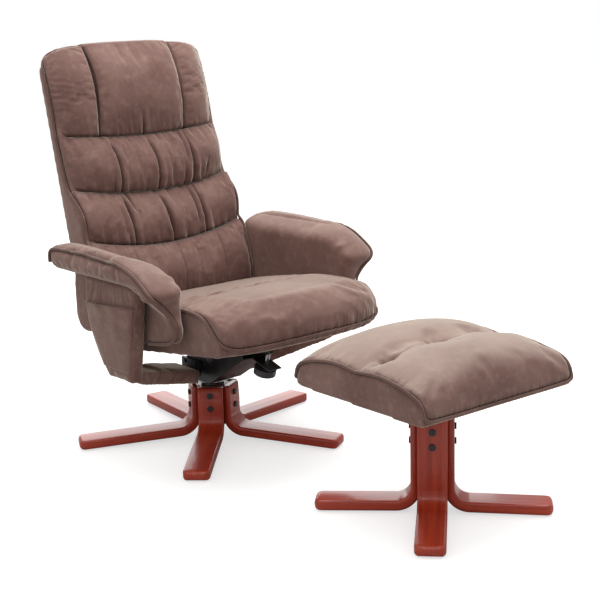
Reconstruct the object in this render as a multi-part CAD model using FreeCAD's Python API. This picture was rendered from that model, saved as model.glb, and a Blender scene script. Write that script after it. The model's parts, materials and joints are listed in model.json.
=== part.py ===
import FreeCAD, Part
import math
import os

V = FreeCAD.Vector
X_AXIS = V(1, 0, 0)
Y_AXIS = V(0, 1, 0)
Z_AXIS = V(0, 0, 1)
ORIGIN = V(0, 0, 0)

# Lengths are in mm, angles in degrees. The chair faces -Y and swivels about Z through the origin.

# Bent-wood legs, chair and stool alike
LEG_WIDTH = 66.0
LEG_THICK = 24.0
LEG_BEND = 46.0
LEG_TIP_ROUND = 14.0
LEG_EASE = 4.0
LEG_MITRE_GAP = 0.4
GLIDE_HEIGHT = 2.0
GLIDE_RADIUS = 13.0
GLIDE_INSET = 30.0
BOLT_RADIUS = 4.0
BOLT_HEAD_RADIUS = 7.5
BOLT_HEAD_HEIGHT = 4.0
BOLT_SPACING = 34.0
BOLT_GRIP = 14.0
FIT = 0.05
OVERRUN = 5.0

# Chair base
BASE_LEGS = 5
BASE_TURN = -133.93
BASE_TIP_RADIUS = 355.0
BASE_HUB_APOTHEM = 38.0
BASE_LEG_TOP = 141.0
BASE_LEG_RISE = 10.0
BASE_HUB_BOTTOM = 34.0
BASE_HUB_TOP = 138.0
BASE_BOLT_TOP = 121.0

# Swivel
POST_RADIUS = 14.0
BUSH_WALL = 6.0
BUSH_FLANGE_RADIUS = 30.0
BUSH_FLANGE_HEIGHT = 4.0
RACE_INNER = 17.0
RACE_OUTER = 29.0
RACE_HEIGHT = 2.0
BALL_RADIUS = 3.0
BALL_COUNT = 12
CAGE_HEIGHT = 2.4
CAGE_PLAY = 0.3
PLATE_RADIUS = 46.0
PLATE_HEIGHT = 6.0
RING_HEIGHT = 3.0
RING_RADIUS = 18.0

# Tilt pan and pivot
PAN_HALF_WIDTH = 50.0
PAN_SHEET = 3.0
PAN_REAR = 60.0
PAN_FLAT_FRONT = 54.0
PAN_SLOPE_FRONT = 196.0
PAN_FRONT = 262.0
PAN_LEDGE_DROP = 21.0
PAN_LEDGE_HEIGHT = 249.0
PAN_BEND = 8.0
PAN_TONGUE_HALF = 20.0
PAN_WALL_REAR_TOP = 205.0
PAN_WALL_MID_TOP = 246.0
PAN_WALL_FRONT_TOP = 262.0
PIVOT_FORWARD = 60.0
PIVOT_HEIGHT = 225.0
SHAFT_RADIUS = 8.0
SHAFT_RING_RADIUS = 12.0
SHAFT_RING_THICK = 2.5
RUBBER_RADIUS = 19.0
RUBBER_HALF_LENGTH = 38.0
LEVER_RING_WALL = 4.0
LEVER_HALF_WIDTH = 9.0
LEVER_THICK = 9.0
CLEAR = 0.4

# Tension knob, on a spindle square to the pan's front ledge
KNOB_RADIUS = 28.0
KNOB_HEIGHT = 17.0
KNOB_GAP = 10.0
SPINDLE_RADIUS = 6.0
SPINDLE_ABOVE = 28.0

# Seat, carried on a bracket that turns on the pivot shaft
SEAT_SLOPE = 7.6
SEAT_REF_HEIGHT = 283.0
BRACKET_GAP = 1.0
BRACKET_SHEET = 3.0
BRACKET_PLATE = 4.0
BRACKET_HALF_WIDTH = 110.0
BRACKET_REAR = 110.0
BRACKET_FRONT = 150.0
CHEEK_EYE = 19.0
SEAT_BOARD_HALF_WIDTH = 222.0
SEAT_BOARD_THICK = 18.0
SEAT_BOARD_FRONT = 300.0
SEAT_BOARD_REAR = 150.0
SEAT_WIDTH = 486.0
SEAT_FRONT = 388.0
SEAT_REAR = 196.0
SEAT_HEIGHT = 124.0

# Back, leaning behind the seat
BACK_LEAN = 12.5
BACK_FOOT_REAR = 228.0
BACK_FOOT_HEIGHT = 330.0
BACK_WIDTH = 490.0
BACK_HEIGHT = 690.0
BACK_SHELL = 24.0
BACK_SKIN = 6.0
BACK_BOARD_THICK = 12.0
BACK_RIM = 22.0
LUMBAR_LOW = 7.0
LUMBAR_TOP = 181.0
ROLL_SEAM = 314.0
HEAD_SEAM = 455.0
HEAD_PANEL_WIDTH = 262.0
LUMBAR_SAG = 36.0
ROLL_SAG = 26.0
HEAD_SAG = 18.0
SEAM_GAP = 1.0
LUMBAR_DEPTH = 88.0
ROLL_DEPTH = 76.0
HEAD_DEPTH = 72.0
WING_DEPTH = 66.0
STRAP_WIDTH = 40.0
STRAP_THICK = 6.0
STRAP_SIDE = 150.0
STRAP_TOP = 260.0
STRAP_BOTTOM = 91.0
STRAP_FOOT_FRONT = 60.0
STRAP_FOOT_REAR = 262.0
STRAP_FIT = 0.5

# Arms, on bars fixed to the pan
BAR_WIDTH = 80.0
BAR_THICK = 8.0
BAR_FOOT_BEND = 14.0
BAR_SETBACK = 35.0
BAR_SWEEP = 20.7
BAR_FOOT_TOP = 212.0
BAR_START_HEIGHT = 172.0
BAR_SLOPE = 16.5
BAR_INSET = 66.0
BAR_HEAD_INSET = 40.0
BAR_BOLT_ROW = 24.0
BAR_BOLT_HEIGHT = 203.0
BAR_BOLT_RADIUS = 3.0
BAR_BOLT_HEAD = 5.5
SLEEVE_THICK = 32.0
SLEEVE_START = 76.0
SLEEVE_WIDTH = 110.0
SLEEVE_BEND = 44.0
SLEEVE_ROUND = 13.0
SLEEVE_FORWARD = 140.0
SLEEVE_LOW_REAR = 30.0
SLEEVE_TOP_FORWARD = 176.0
SLEEVE_TOP_REAR = 53.0
SLEEVE_MID_REAR = 24.0
SLEEVE_MID_HEIGHT = 320.0
SLEEVE_LOW_HEIGHT = 240.0
ARM_GAP = 7.0
ARM_WIDTH = 102.0
ARM_REAR = 178.0
ARM_BOARD_BOTTOM = 475.0
ARM_BOARD_THICK = 10.0
ARM_BOARD_INSET = 6.0
ARM_BOARD_WIDTH = 88.0
ARM_BOARD_FRONT = 185.0
ARM_BOARD_REAR = 166.0
ARM_PAD_LENGTH = 440.0
ARM_PAD_HEIGHT = 46.0
ARM_CORE_THICK = 36.0
ARM_CORE_LENGTH = 452.0
ARM_CORE_HEIGHT = 165.0
ARM_SCREW_ROW = 44.0
POCKET_THICK = 13.0
POCKET_WALL = 3.0
POCKET_FRONT = 126.0
POCKET_REAR = -10.0
POCKET_LOW = 278.0
POCKET_TOP = 392.0
POCKET_ROUND = 18.0
POCKET_GAP = 0.4

# Footstool
STOOL_FORWARD = 755.0
STOOL_SIDE = 40.0
STOOL_TURN = -2.42
STOOL_LEGS = 4
STOOL_TIP_RADIUS = 262.0
STOOL_HUB_APOTHEM = 24.0
STOOL_HUB_BOTTOM = 40.0
STOOL_LEG_TOP = 284.0
STOOL_LEG_RISE = 4.0
STOOL_BOLT_TOP = 195.0
STOOL_PLATE_HALF = 91.0
STOOL_PLATE_THICK = 5.0
STOOL_BOARD_HALF = 172.0
STOOL_BOARD_THICK = 15.0
STOOL_WIDTH = 434.0
STOOL_DEPTH = 416.0
STOOL_HEIGHT = 112.0
STOOL_SKIRT = 3.0
STOOL_TUFT_RADIUS = 46.0
STOOL_TUFT_DEPTH = 7.0
STOOL_TUFT_SPACING = 112.0
SCREW_RADIUS = 3.0
SCREW_HEAD_RADIUS = 6.0
SCREW_HEAD_HEIGHT = 3.0
SCREW_LENGTH = 12.0

# Outlines, as shares of a piece's depth (backwards) and height
SEAT_SHARES = [(0.505, 0.0), (-0.925, 0.0), ((-0.985, 0.22), (-0.995, 0.46)), ((-0.945, 0.74), (-0.80, 0.91)),
               ((-0.60, 0.985), (-0.35, 0.985)), ((0.03, 0.94), (0.40, 0.83)), ((0.47, 0.77), (0.505, 0.62))]
ROLL_SHARES = [(0.0, 0.0), (-0.66, 0.0), ((-1.0, 0.47), (-0.62, 1.0)), (0.0, 1.0)]
LOWER_SHARES = [(0.0, 0.0), (-0.84, 0.0), ((-1.0, 0.40), (-0.62, 1.0)), (0.0, 1.0)]
LUMBAR_SHARES = [(0.0, 0.0), (-0.90, 0.0), ((-1.04, 0.36), (-0.98, 0.72)), ((-0.95, 0.90), (-0.82, 1.0)), (0.0, 1.0)]
HEAD_SHARES = [(0.0, 0.0), (-0.66, 0.0), ((-0.96, 0.30), (-0.99, 0.55)), ((-0.838, 0.771), (-0.50, 0.976)),
               ((-0.377, 0.998), (-0.22, 1.0)), (0.0, 1.0)]
SHELL_SHARES = [(0.0, 0.0), (-1.0, 0.0), (-1.0, 0.97), ((-0.72, 0.993), (-0.40, 1.0)), ((-0.10, 0.992), (0.0, 0.965))]
PAD_SHARES = [(0.0, 0.0), (-0.79, 0.0), ((-0.90, -0.20), (-0.955, -0.80)), ((-1.0, -0.60), (-0.985, -0.20)),
              ((-0.86, 0.55), (-0.60, 0.93)), ((-0.30, 1.03), (-0.05, 0.99)), ((-0.012, 0.92), (0.0, 0.76))]
CORE_SHARES = [(0.0, 1.0), (-0.80, 1.0), ((-0.885, 0.80), (-0.965, 0.56)), ((-1.0, 0.34), (-0.94, 0.20)),
               ((-0.84, 0.14), (-0.60, 0.11)), ((-0.34, 0.03), (-0.14, 0.0)), ((-0.03, 0.06), (0.0, 0.22))]
STOOL_SHARES = [(-0.455, 0.0), ((-0.49, 0.06), (-0.5, 0.18)), ((-0.472, 0.62), (-0.335, 0.88)),
                ((-0.16, 1.0), (0.0, 0.92)), ((0.16, 1.0), (0.335, 0.88)), ((0.472, 0.62), (0.5, 0.18)),
                ((0.49, 0.06), (0.455, 0.0))]

# Stations across a piece: place over the width, then shares of full depth and full height
SEAT_STATION_SHARES = [(-0.5, 0.825, 0.91), (-0.44, 0.885, 0.96), (-0.30, 0.965, 0.99), (0.0, 1.0, 1.0),
                       (0.30, 0.965, 0.99), (0.44, 0.885, 0.96), (0.5, 0.825, 0.91)]
ROLL_NEAR_SHARE = 0.55
ROLL_FULL_SHARE = 0.96
LUMBAR_EDGE_SHARE = 0.98
LOWER_EDGE_SHARE = 0.96
UPPER_EDGE_SHARE = 0.42
HEAD_STATION_SHARES = [(-0.5, 0.84, 0.985), (-0.38, 0.96, 0.995), (0.0, 1.0, 1.0), (0.38, 0.96, 0.995), (0.5, 0.84, 0.985)]
WING_STATION_SHARES = [(0.0, 0.80, 0.98), (0.35, 0.98, 0.965), (0.72, 0.74, 0.93), (1.0, 0.26, 0.86)]
SHELL_STATION_SHARES = [(-0.5, 1.0, 0.925), (-0.40, 1.0, 0.97), (-0.2, 1.0, 0.995), (0.0, 1.0, 1.0),
                        (0.2, 1.0, 0.995), (0.40, 1.0, 0.97), (0.5, 1.0, 0.925)]
PAD_STATION_SHARES = [(0.0, 0.975, 0.78), (0.14, 0.99, 0.93), (0.45, 1.0, 1.0), (0.80, 0.985, 1.0), (1.0, 0.955, 0.95)]
CORE_STATION_SHARES = [(0.0, 0.925, 0.97), (0.3, 0.965, 0.998), (0.7, 0.99, 0.998), (1.0, 0.975, 0.97)]
STOOL_STATION_SHARES = [(-0.5, 0.985, 0.71), (-0.40, 0.996, 0.84), (-0.2, 1.0, 0.965), (0.0, 1.0, 1.0),
                        (0.2, 1.0, 0.965), (0.40, 0.996, 0.84), (0.5, 0.985, 0.71)]

# Heights and places that follow from the sizes above
FLANGE_TOP = BASE_HUB_TOP + BUSH_FLANGE_HEIGHT
BALL_BOTTOM = FLANGE_TOP + RACE_HEIGHT
UPPER_RACE = BALL_BOTTOM + 2 * BALL_RADIUS
PLATE_BOTTOM = UPPER_RACE + RACE_HEIGHT
PAN_FLOOR = PLATE_BOTTOM + PLATE_HEIGHT
SEAT_PLACE = V(0, -PIVOT_FORWARD, SEAT_REF_HEIGHT)
BACK_PLACE = V(0, BACK_FOOT_REAR, BACK_FOOT_HEIGHT)
STOOL_PLACE = V(STOOL_SIDE, -STOOL_FORWARD, 0)
ARM_TOP = ARM_BOARD_BOTTOM + ARM_BOARD_THICK
ARM_INNER = BACK_WIDTH / 2 + ARM_GAP
ARM_BOARD_INNER = ARM_INNER + ARM_BOARD_INSET
BAR_SIDE = ARM_INNER + BAR_INSET
BAR_TOP_INNER = ARM_INNER + BAR_HEAD_INSET
CHEEK_OUTER = PAN_HALF_WIDTH - PAN_SHEET - BRACKET_GAP
CHEEK_INNER = CHEEK_OUTER - BRACKET_SHEET
SLEEVE_OUTER = BAR_SIDE + SLEEVE_THICK / 2
STOOL_BOARD_BOTTOM = STOOL_LEG_TOP + STOOL_PLATE_THICK
PIVOT = V(0, -PIVOT_FORWARD, PIVOT_HEIGHT)


def box(x0, x1, y0, y1, z0, z1):
    """Block between two corners."""
    return Part.makeBox(x1 - x0, y1 - y0, z1 - z0, V(x0, y0, z0))


def rod(radius, start, direction, length):
    """Round bar from a point along a direction."""
    return Part.makeCylinder(radius, length, start, direction)


def tube(outer, inner, bottom, top):
    """Ring about Z between two heights."""
    ring = rod(outer, V(0, 0, bottom), Z_AXIS, top - bottom)
    hole = rod(inner, V(0, 0, bottom - OVERRUN), Z_AXIS, top - bottom + 2 * OVERRUN)
    return ring.cut(hole)


def line(a, b):
    return Part.LineSegment(a, b).toShape()


def arc(a, middle, b):
    return Part.Arc(a, middle, b).toShape()


def turned(shape, axis, degrees, about=ORIGIN):
    """Copy of a shape turned about an axis."""
    copy = shape.copy()
    copy.rotate(about, axis, degrees)
    return copy


def moved(shape, step):
    """Copy of a shape moved by a step."""
    copy = shape.copy()
    copy.translate(step)
    return copy


def mirrored(shape):
    """The same piece for the other side of the chair."""
    return shape.mirror(ORIGIN, X_AXIS)


def group(shapes):
    """Separate solids that belong to one node."""
    return Part.makeCompound(shapes)


def left_of(direction):
    """Direction a quarter turn to the left in the XZ plane."""
    return V(-direction.z, 0, direction.x)


def strip_edges(points, offset, radius):
    """One long side of a strip: lines, with an arc round each inner corner."""
    first = (points[1] - points[0]).normalize()
    here = points[0] + left_of(first) * offset
    start = here
    edges = []
    for before, corner, after in zip(points, points[1:], points[2:]):
        inward = (corner - before).normalize()
        outward = (after - corner).normalize()
        hand = math.copysign(1, left_of(inward).dot(outward))
        reach = radius * math.tan(inward.getAngle(outward) / 2)
        begin = corner - inward * reach
        centre = begin + left_of(inward) * (radius * hand)
        a = begin + left_of(inward) * offset
        b = corner + outward * reach + left_of(outward) * offset
        middle = centre + (corner - centre).normalize() * (radius - hand * offset)
        edges.append(line(here, a))
        edges.append(arc(a, middle, b))
        here = b
    last = (points[-1] - points[-2]).normalize()
    end = points[-1] + left_of(last) * offset
    edges.append(line(here, end))
    return edges, start, end


def strip(points, thickness, radius, width, sweep=0):
    """Flat strip bent along a centre line in the XZ plane, swept forwards by an angle, centred on Y."""
    points = [V(p.x / math.cos(math.radians(sweep)), 0, p.z) for p in points]
    above, a_start, a_end = strip_edges(points, thickness / 2, radius)
    below, b_start, b_end = strip_edges(points, -thickness / 2, radius)
    edges = above + [line(a_end, b_end)] + below + [line(b_start, a_start)]
    face = turned(Part.Face(Part.Wire(Part.__sortEdges__(edges))), Z_AXIS, -sweep)
    return moved(face, V(0, -width / 2, 0)).extrude(V(0, width, 0))


def plate(points, x0, x1):
    """Flat plate between two places along X, cut to an outline of (y, z) points."""
    corners = [V(x0, y, z) for y, z in points]
    return Part.Face(Part.makePolygon(corners + corners[:1])).extrude(V(x1 - x0, 0, 0))


def outline(x, shares, depth, height, rear_depth):
    """Closed wire of lines and arcs in a plane across X; what lies behind the middle takes the rear depth."""
    def point(pair):
        return V(x, pair[0] * (depth if pair[0] < 0 else rear_depth), pair[1] * height)
    first = point(shares[0])
    here = first
    edges = []
    for step in shares[1:]:
        if isinstance(step[0], tuple):
            there = point(step[1])
            edges.append(arc(here, point(step[0]), there))
        else:
            there = point(step)
            edges.append(line(here, there))
        here = there
    edges.append(line(here, first))
    return Part.Wire(edges)


def soft(shares, stations, width, depth, height):
    """Upholstered piece: its outline lofted over its width, its front drawn in at the stations."""
    wires = [outline(at * width, shares, deep * depth, high * height, depth) for at, deep, high in stations]
    return Part.makeLoft(wires, True, False)


def on_seat(shape):
    """Put a piece made in the seat's own frame in its place."""
    return moved(turned(shape, X_AXIS, -SEAT_SLOPE), SEAT_PLACE)


def on_back(shape):
    """Put a piece made in the back's own frame in its place."""
    return moved(turned(shape, X_AXIS, -BACK_LEAN), BACK_PLACE)


def on_stool(shape):
    """Put a piece made about the stool's own axis in its place."""
    return moved(turned(shape, Z_AXIS, STOOL_TURN), STOOL_PLACE)


def bent_leg(sides, apothem, tip, top, rise, bolt_top):
    """One leg along +X: upright on the hub, bent out to a rounded tip."""
    low = GLIDE_HEIGHT + LEG_THICK / 2
    inside = apothem + LEG_THICK / 2
    points = [V(inside, 0, top), V(inside, 0, low + rise), V(tip, 0, low)]
    leg = strip(points, LEG_THICK, LEG_BEND, LEG_WIDTH)
    long_edges = [e for e in leg.Edges if e.BoundBox.YLength < FIT and e.Length > LEG_THICK + FIT]
    leg = leg.makeFillet(LEG_EASE, long_edges)
    body = box(0, tip - LEG_TIP_ROUND, -LEG_WIDTH / 2, LEG_WIDTH / 2, 0, top)
    nose = box(0, tip, LEG_TIP_ROUND - LEG_WIDTH / 2, LEG_WIDTH / 2 - LEG_TIP_ROUND, 0, top)
    plan = body.fuse(nose)
    for side in (-1, 1):
        corner = V(tip - LEG_TIP_ROUND, side * (LEG_WIDTH / 2 - LEG_TIP_ROUND), 0)
        plan = plan.fuse(rod(LEG_TIP_ROUND, corner, Z_AXIS, top))
    leg = leg.common(plan.removeSplitter()).common(mitre(sides, tip, top))
    for hole in leg_holes(apothem, bolt_top):
        leg = leg.cut(hole)
    return leg


def mitre(sides, tip, top):
    """Sector that a leg along +X keeps to, so that its neighbours fit beside it round the hub."""
    slant = math.tan(math.pi / sides)
    apex = LEG_MITRE_GAP / slant
    corners = [V(apex, 0, 0), V(apex + tip, -tip * slant, 0), V(apex + tip, tip * slant, 0)]
    return Part.Face(Part.makePolygon(corners + corners[:1])).extrude(V(0, 0, top))


def leg_holes(apothem, bolt_top):
    """Bolt holes of one leg along +X, running on into the hub."""
    heights = (bolt_top, bolt_top - BOLT_SPACING)
    start = apothem - BOLT_GRIP
    reach = BOLT_GRIP + LEG_THICK + OVERRUN
    return [rod(BOLT_RADIUS + FIT, V(start, 0, z), X_AXIS, reach) for z in heights]


def leg_bolts(apothem, bolt_top):
    """The two bolts of one leg along +X."""
    bolts = []
    for z in (bolt_top, bolt_top - BOLT_SPACING):
        face = apothem + LEG_THICK
        shank = rod(BOLT_RADIUS, V(apothem - BOLT_GRIP, 0, z), X_AXIS, BOLT_GRIP + LEG_THICK)
        head = rod(BOLT_HEAD_RADIUS, V(face, 0, z), X_AXIS, BOLT_HEAD_HEIGHT)
        bolts.append(shank.fuse(head).removeSplitter())
    return bolts


def glide(tip):
    """Floor glide under one leg tip along +X."""
    return rod(GLIDE_RADIUS, V(tip - GLIDE_INSET, 0, 0), Z_AXIS, GLIDE_HEIGHT)


def prism_hub(sides, apothem, bottom, top, bolt_top, angles):
    """Hub with one flat per leg, the first flat facing +X."""
    radius = apothem / math.cos(math.pi / sides)
    corners = []
    for k in range(sides):
        a = 2 * math.pi * (k + 1 / 2) / sides
        corners.append(V(radius * math.cos(a), radius * math.sin(a), bottom))
    hub = Part.Face(Part.makePolygon(corners + corners[:1])).extrude(V(0, 0, top - bottom))
    for angle in angles:
        for hole in leg_holes(apothem, bolt_top):
            hub = hub.cut(turned(hole, Z_AXIS, angle))
    return hub


def base_angles():
    """Directions of the base legs, from the first flat on."""
    return [360 * k / BASE_LEGS for k in range(BASE_LEGS)]


def on_base(shape):
    """Turn a piece made with its first leg along +X to the base's own heading."""
    return turned(shape, Z_AXIS, BASE_TURN)


def chair_base(pieces):
    """Hub, legs, bolts and glides of the chair base."""
    angles = base_angles()
    hub = prism_hub(BASE_LEGS, BASE_HUB_APOTHEM, BASE_HUB_BOTTOM, BASE_HUB_TOP, BASE_BOLT_TOP, angles)
    bore = rod(POST_RADIUS + BUSH_WALL, V(0, 0, 0), Z_AXIS, BASE_HUB_TOP + OVERRUN)
    pieces["base_hub"] = on_base(hub.cut(bore))
    leg = bent_leg(BASE_LEGS, BASE_HUB_APOTHEM, BASE_TIP_RADIUS, BASE_LEG_TOP, BASE_LEG_RISE, BASE_BOLT_TOP)
    bolts = []
    glides = []
    for k, angle in enumerate(angles):
        pieces["base_leg_%d" % (k + 1)] = on_base(turned(leg, Z_AXIS, angle))
        bolts += [on_base(turned(b, Z_AXIS, angle)) for b in leg_bolts(BASE_HUB_APOTHEM, BASE_BOLT_TOP)]
        glides.append(on_base(turned(glide(BASE_TIP_RADIUS), Z_AXIS, angle)))
    pieces["base_leg_bolts"] = group(bolts)
    pieces["base_glides"] = group(glides)


def swivel(pieces):
    """Bush and thrust bearing of the base, post and plate that turn on them."""
    bush = tube(POST_RADIUS + BUSH_WALL, POST_RADIUS + FIT, BASE_HUB_BOTTOM, BASE_HUB_TOP)
    flange = tube(BUSH_FLANGE_RADIUS, POST_RADIUS + FIT, BASE_HUB_TOP, FLANGE_TOP)
    pieces["swivel_bush"] = bush.fuse(flange).removeSplitter()
    pieces["bearing_lower_race"] = tube(RACE_OUTER, RACE_INNER, FLANGE_TOP, BALL_BOTTOM)
    pieces["bearing_upper_race"] = tube(RACE_OUTER, RACE_INNER, UPPER_RACE, PLATE_BOTTOM)
    pitch = (RACE_INNER + RACE_OUTER) / 2
    middle = BALL_BOTTOM + BALL_RADIUS
    cage = tube(RACE_OUTER, RACE_INNER, middle - CAGE_HEIGHT / 2, middle + CAGE_HEIGHT / 2)
    balls = []
    for k in range(BALL_COUNT):
        a = 2 * math.pi * k / BALL_COUNT
        spot = V(pitch * math.cos(a), pitch * math.sin(a), middle)
        balls.append(Part.makeSphere(BALL_RADIUS - CLEAR / 8, spot))
        cage = cage.cut(rod(BALL_RADIUS + CAGE_PLAY, spot - V(0, 0, CAGE_HEIGHT), Z_AXIS, 2 * CAGE_HEIGHT))
    pieces["bearing_cage"] = cage
    pieces["bearing_balls"] = group(balls)
    low = BASE_HUB_BOTTOM - RING_HEIGHT - CLEAR
    post = rod(POST_RADIUS, V(0, 0, low - RING_HEIGHT), Z_AXIS, PLATE_BOTTOM - low + RING_HEIGHT)
    top = rod(PLATE_RADIUS, V(0, 0, PLATE_BOTTOM), Z_AXIS, PLATE_HEIGHT)
    pieces["swivel_post"] = post.fuse(top).removeSplitter()
    pieces["post_ring"] = tube(RING_RADIUS, POST_RADIUS, low, low + RING_HEIGHT)


def forward(u, z):
    """Point of the tilt pan's side view, u measured forwards."""
    return V(u, 0, z)


def facing_front(shape):
    """Turn a piece drawn along +X to run forwards along the chair."""
    return turned(shape, Z_AXIS, -90)


def ledge_direction():
    """Direction of the pan's front ledge, forwards and a little down."""
    run = PAN_FRONT - PAN_SLOPE_FRONT
    return forward(run, -PAN_LEDGE_DROP).normalize()


def knob_axis():
    """Spindle line: a point on the ledge's centre line and the direction up through it."""
    along = ledge_direction()
    half = (PAN_FRONT - PAN_SLOPE_FRONT) / 2
    point = forward(PAN_SLOPE_FRONT + half, PAN_LEDGE_HEIGHT - PAN_LEDGE_DROP / 2)
    return point, left_of(along)


def tilt_pan():
    """Sheet-steel pan: flat over the swivel plate, sloping up to a ledge at the front."""
    floor = PAN_FLOOR + PAN_SHEET / 2
    points = [forward(-PAN_REAR, floor), forward(PAN_FLAT_FRONT, floor),
              forward(PAN_SLOPE_FRONT, PAN_LEDGE_HEIGHT),
              forward(PAN_FRONT, PAN_LEDGE_HEIGHT - PAN_LEDGE_DROP)]
    pan = facing_front(strip(points[:3], PAN_SHEET, PAN_BEND, 2 * PAN_HALF_WIDTH))
    pan = pan.fuse(facing_front(strip(points[1:], PAN_SHEET, PAN_BEND, 2 * PAN_TONGUE_HALF)))
    side = [(PAN_REAR, floor), (PAN_REAR, PAN_WALL_REAR_TOP), (-PIVOT_FORWARD / 2, PAN_WALL_MID_TOP),
            (-PAN_SLOPE_FRONT, PAN_WALL_FRONT_TOP), (-PAN_SLOPE_FRONT, PAN_LEDGE_HEIGHT), (-PAN_FLAT_FRONT, floor)]
    pan = pan.fuse(plate(side, PAN_HALF_WIDTH - PAN_SHEET, PAN_HALF_WIDTH))
    pan = pan.fuse(plate(side, -PAN_HALF_WIDTH, PAN_SHEET - PAN_HALF_WIDTH))
    shaft = rod(SHAFT_RADIUS, PIVOT - X_AXIS * (PAN_HALF_WIDTH + OVERRUN), X_AXIS, 2 * (PAN_HALF_WIDTH + OVERRUN))
    pan = pan.cut(shaft)
    spot, up = knob_axis()
    hole = rod(SPINDLE_RADIUS + FIT, spot - up * OVERRUN, up, 2 * OVERRUN)
    pan = pan.cut(facing_front(hole))
    for hole in bar_bolt_shanks(OVERRUN, FIT):
        pan = pan.cut(hole).cut(mirrored(hole))
    return pan.removeSplitter()


def bar_middle(x):
    """Y of the arm bar's centre line at a place across the chair."""
    return BAR_SETBACK - x * math.tan(math.radians(BAR_SWEEP))


def bar_bolt_shanks(over, play):
    """Shanks of the bolts that hold the left arm bar's foot on the pan wall."""
    shanks = []
    start = PAN_HALF_WIDTH - PAN_SHEET - over
    length = PAN_SHEET + BAR_THICK + 2 * over
    for side in (-1, 1):
        spot = V(start, bar_middle(PAN_HALF_WIDTH) + side * BAR_BOLT_ROW, BAR_BOLT_HEIGHT)
        shanks.append(rod(BAR_BOLT_RADIUS + play, spot, X_AXIS, length))
    return shanks


def tilt_parts(pieces):
    """Pivot shaft, torsion rubber, tension lever and knob."""
    pieces["tilt_pan"] = tilt_pan()
    half = PAN_HALF_WIDTH + SHAFT_RING_THICK
    pieces["pivot_shaft"] = rod(SHAFT_RADIUS, PIVOT - X_AXIS * half, X_AXIS, 2 * half)
    ring = rod(SHAFT_RING_RADIUS, PIVOT + X_AXIS * PAN_HALF_WIDTH, X_AXIS, SHAFT_RING_THICK)
    ring = ring.cut(pieces["pivot_shaft"])
    pieces["pivot_rings"] = group([ring, mirrored(ring)])
    start = PIVOT - X_AXIS * RUBBER_HALF_LENGTH
    rubber = rod(RUBBER_RADIUS, start, X_AXIS, 2 * RUBBER_HALF_LENGTH)
    pieces["torsion_rubber"] = rubber.cut(pieces["pivot_shaft"])
    spot, up = knob_axis()
    dome = spot + up * (SPINDLE_ABOVE - SPINDLE_RADIUS)
    rise = dome.z - PIVOT_HEIGHT
    run = dome.x - PIVOT_FORWARD
    span = math.hypot(rise, run)
    lift = math.asin((SPINDLE_RADIUS + CLEAR + LEVER_THICK / 2) / span)
    slope = math.degrees(math.atan2(rise, run) + lift)
    reach = span + SPINDLE_RADIUS
    arm = box(-LEVER_HALF_WIDTH, LEVER_HALF_WIDTH, -reach, 0, -LEVER_THICK / 2, LEVER_THICK / 2)
    arm = moved(turned(arm, X_AXIS, -slope), PIVOT)
    ring = rod(RUBBER_RADIUS + LEVER_RING_WALL, PIVOT - X_AXIS * LEVER_HALF_WIDTH, X_AXIS, 2 * LEVER_HALF_WIDTH)
    half = LEVER_HALF_WIDTH + OVERRUN
    core = rod(RUBBER_RADIUS, PIVOT - X_AXIS * half, X_AXIS, 2 * half)
    pieces["tension_lever"] = ring.fuse(arm).cut(core).removeSplitter()
    under = PAN_SHEET / 2 + KNOB_GAP
    spindle = rod(SPINDLE_RADIUS, spot - up * under, up, under + SPINDLE_ABOVE - SPINDLE_RADIUS)
    spindle = spindle.fuse(Part.makeSphere(SPINDLE_RADIUS, dome))
    pieces["tension_spindle"] = facing_front(spindle.removeSplitter())
    knob = rod(KNOB_RADIUS, spot - up * (under + KNOB_HEIGHT), up, KNOB_HEIGHT)
    pieces["tension_knob"] = facing_front(knob)


def seat_bracket():
    """Inverted channel under the seat, with an eye on the pivot shaft in each cheek."""
    top = on_seat(box(-BRACKET_HALF_WIDTH, BRACKET_HALF_WIDTH, -BRACKET_FRONT, BRACKET_REAR, -BRACKET_PLATE, 0))
    tilt = math.tan(math.radians(SEAT_SLOPE))
    drop = BRACKET_PLATE / 2
    rear = (BRACKET_REAR - PIVOT_FORWARD, SEAT_REF_HEIGHT - drop - BRACKET_REAR * tilt)
    front = (-BRACKET_FRONT - PIVOT_FORWARD, SEAT_REF_HEIGHT - drop + BRACKET_FRONT * tilt)
    side = [rear, (CHEEK_EYE - PIVOT_FORWARD, PIVOT_HEIGHT), (-CHEEK_EYE - PIVOT_FORWARD, PIVOT_HEIGHT), front]
    cheek = plate(side, CHEEK_INNER, CHEEK_OUTER)
    cheek = cheek.fuse(rod(CHEEK_EYE, PIVOT + X_AXIS * CHEEK_INNER, X_AXIS, BRACKET_SHEET))
    bracket = top.fuse(cheek).fuse(mirrored(cheek))
    shaft = rod(SHAFT_RADIUS + FIT, PIVOT - X_AXIS * PAN_HALF_WIDTH, X_AXIS, 2 * PAN_HALF_WIDTH)
    return bracket.cut(shaft).removeSplitter()


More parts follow.
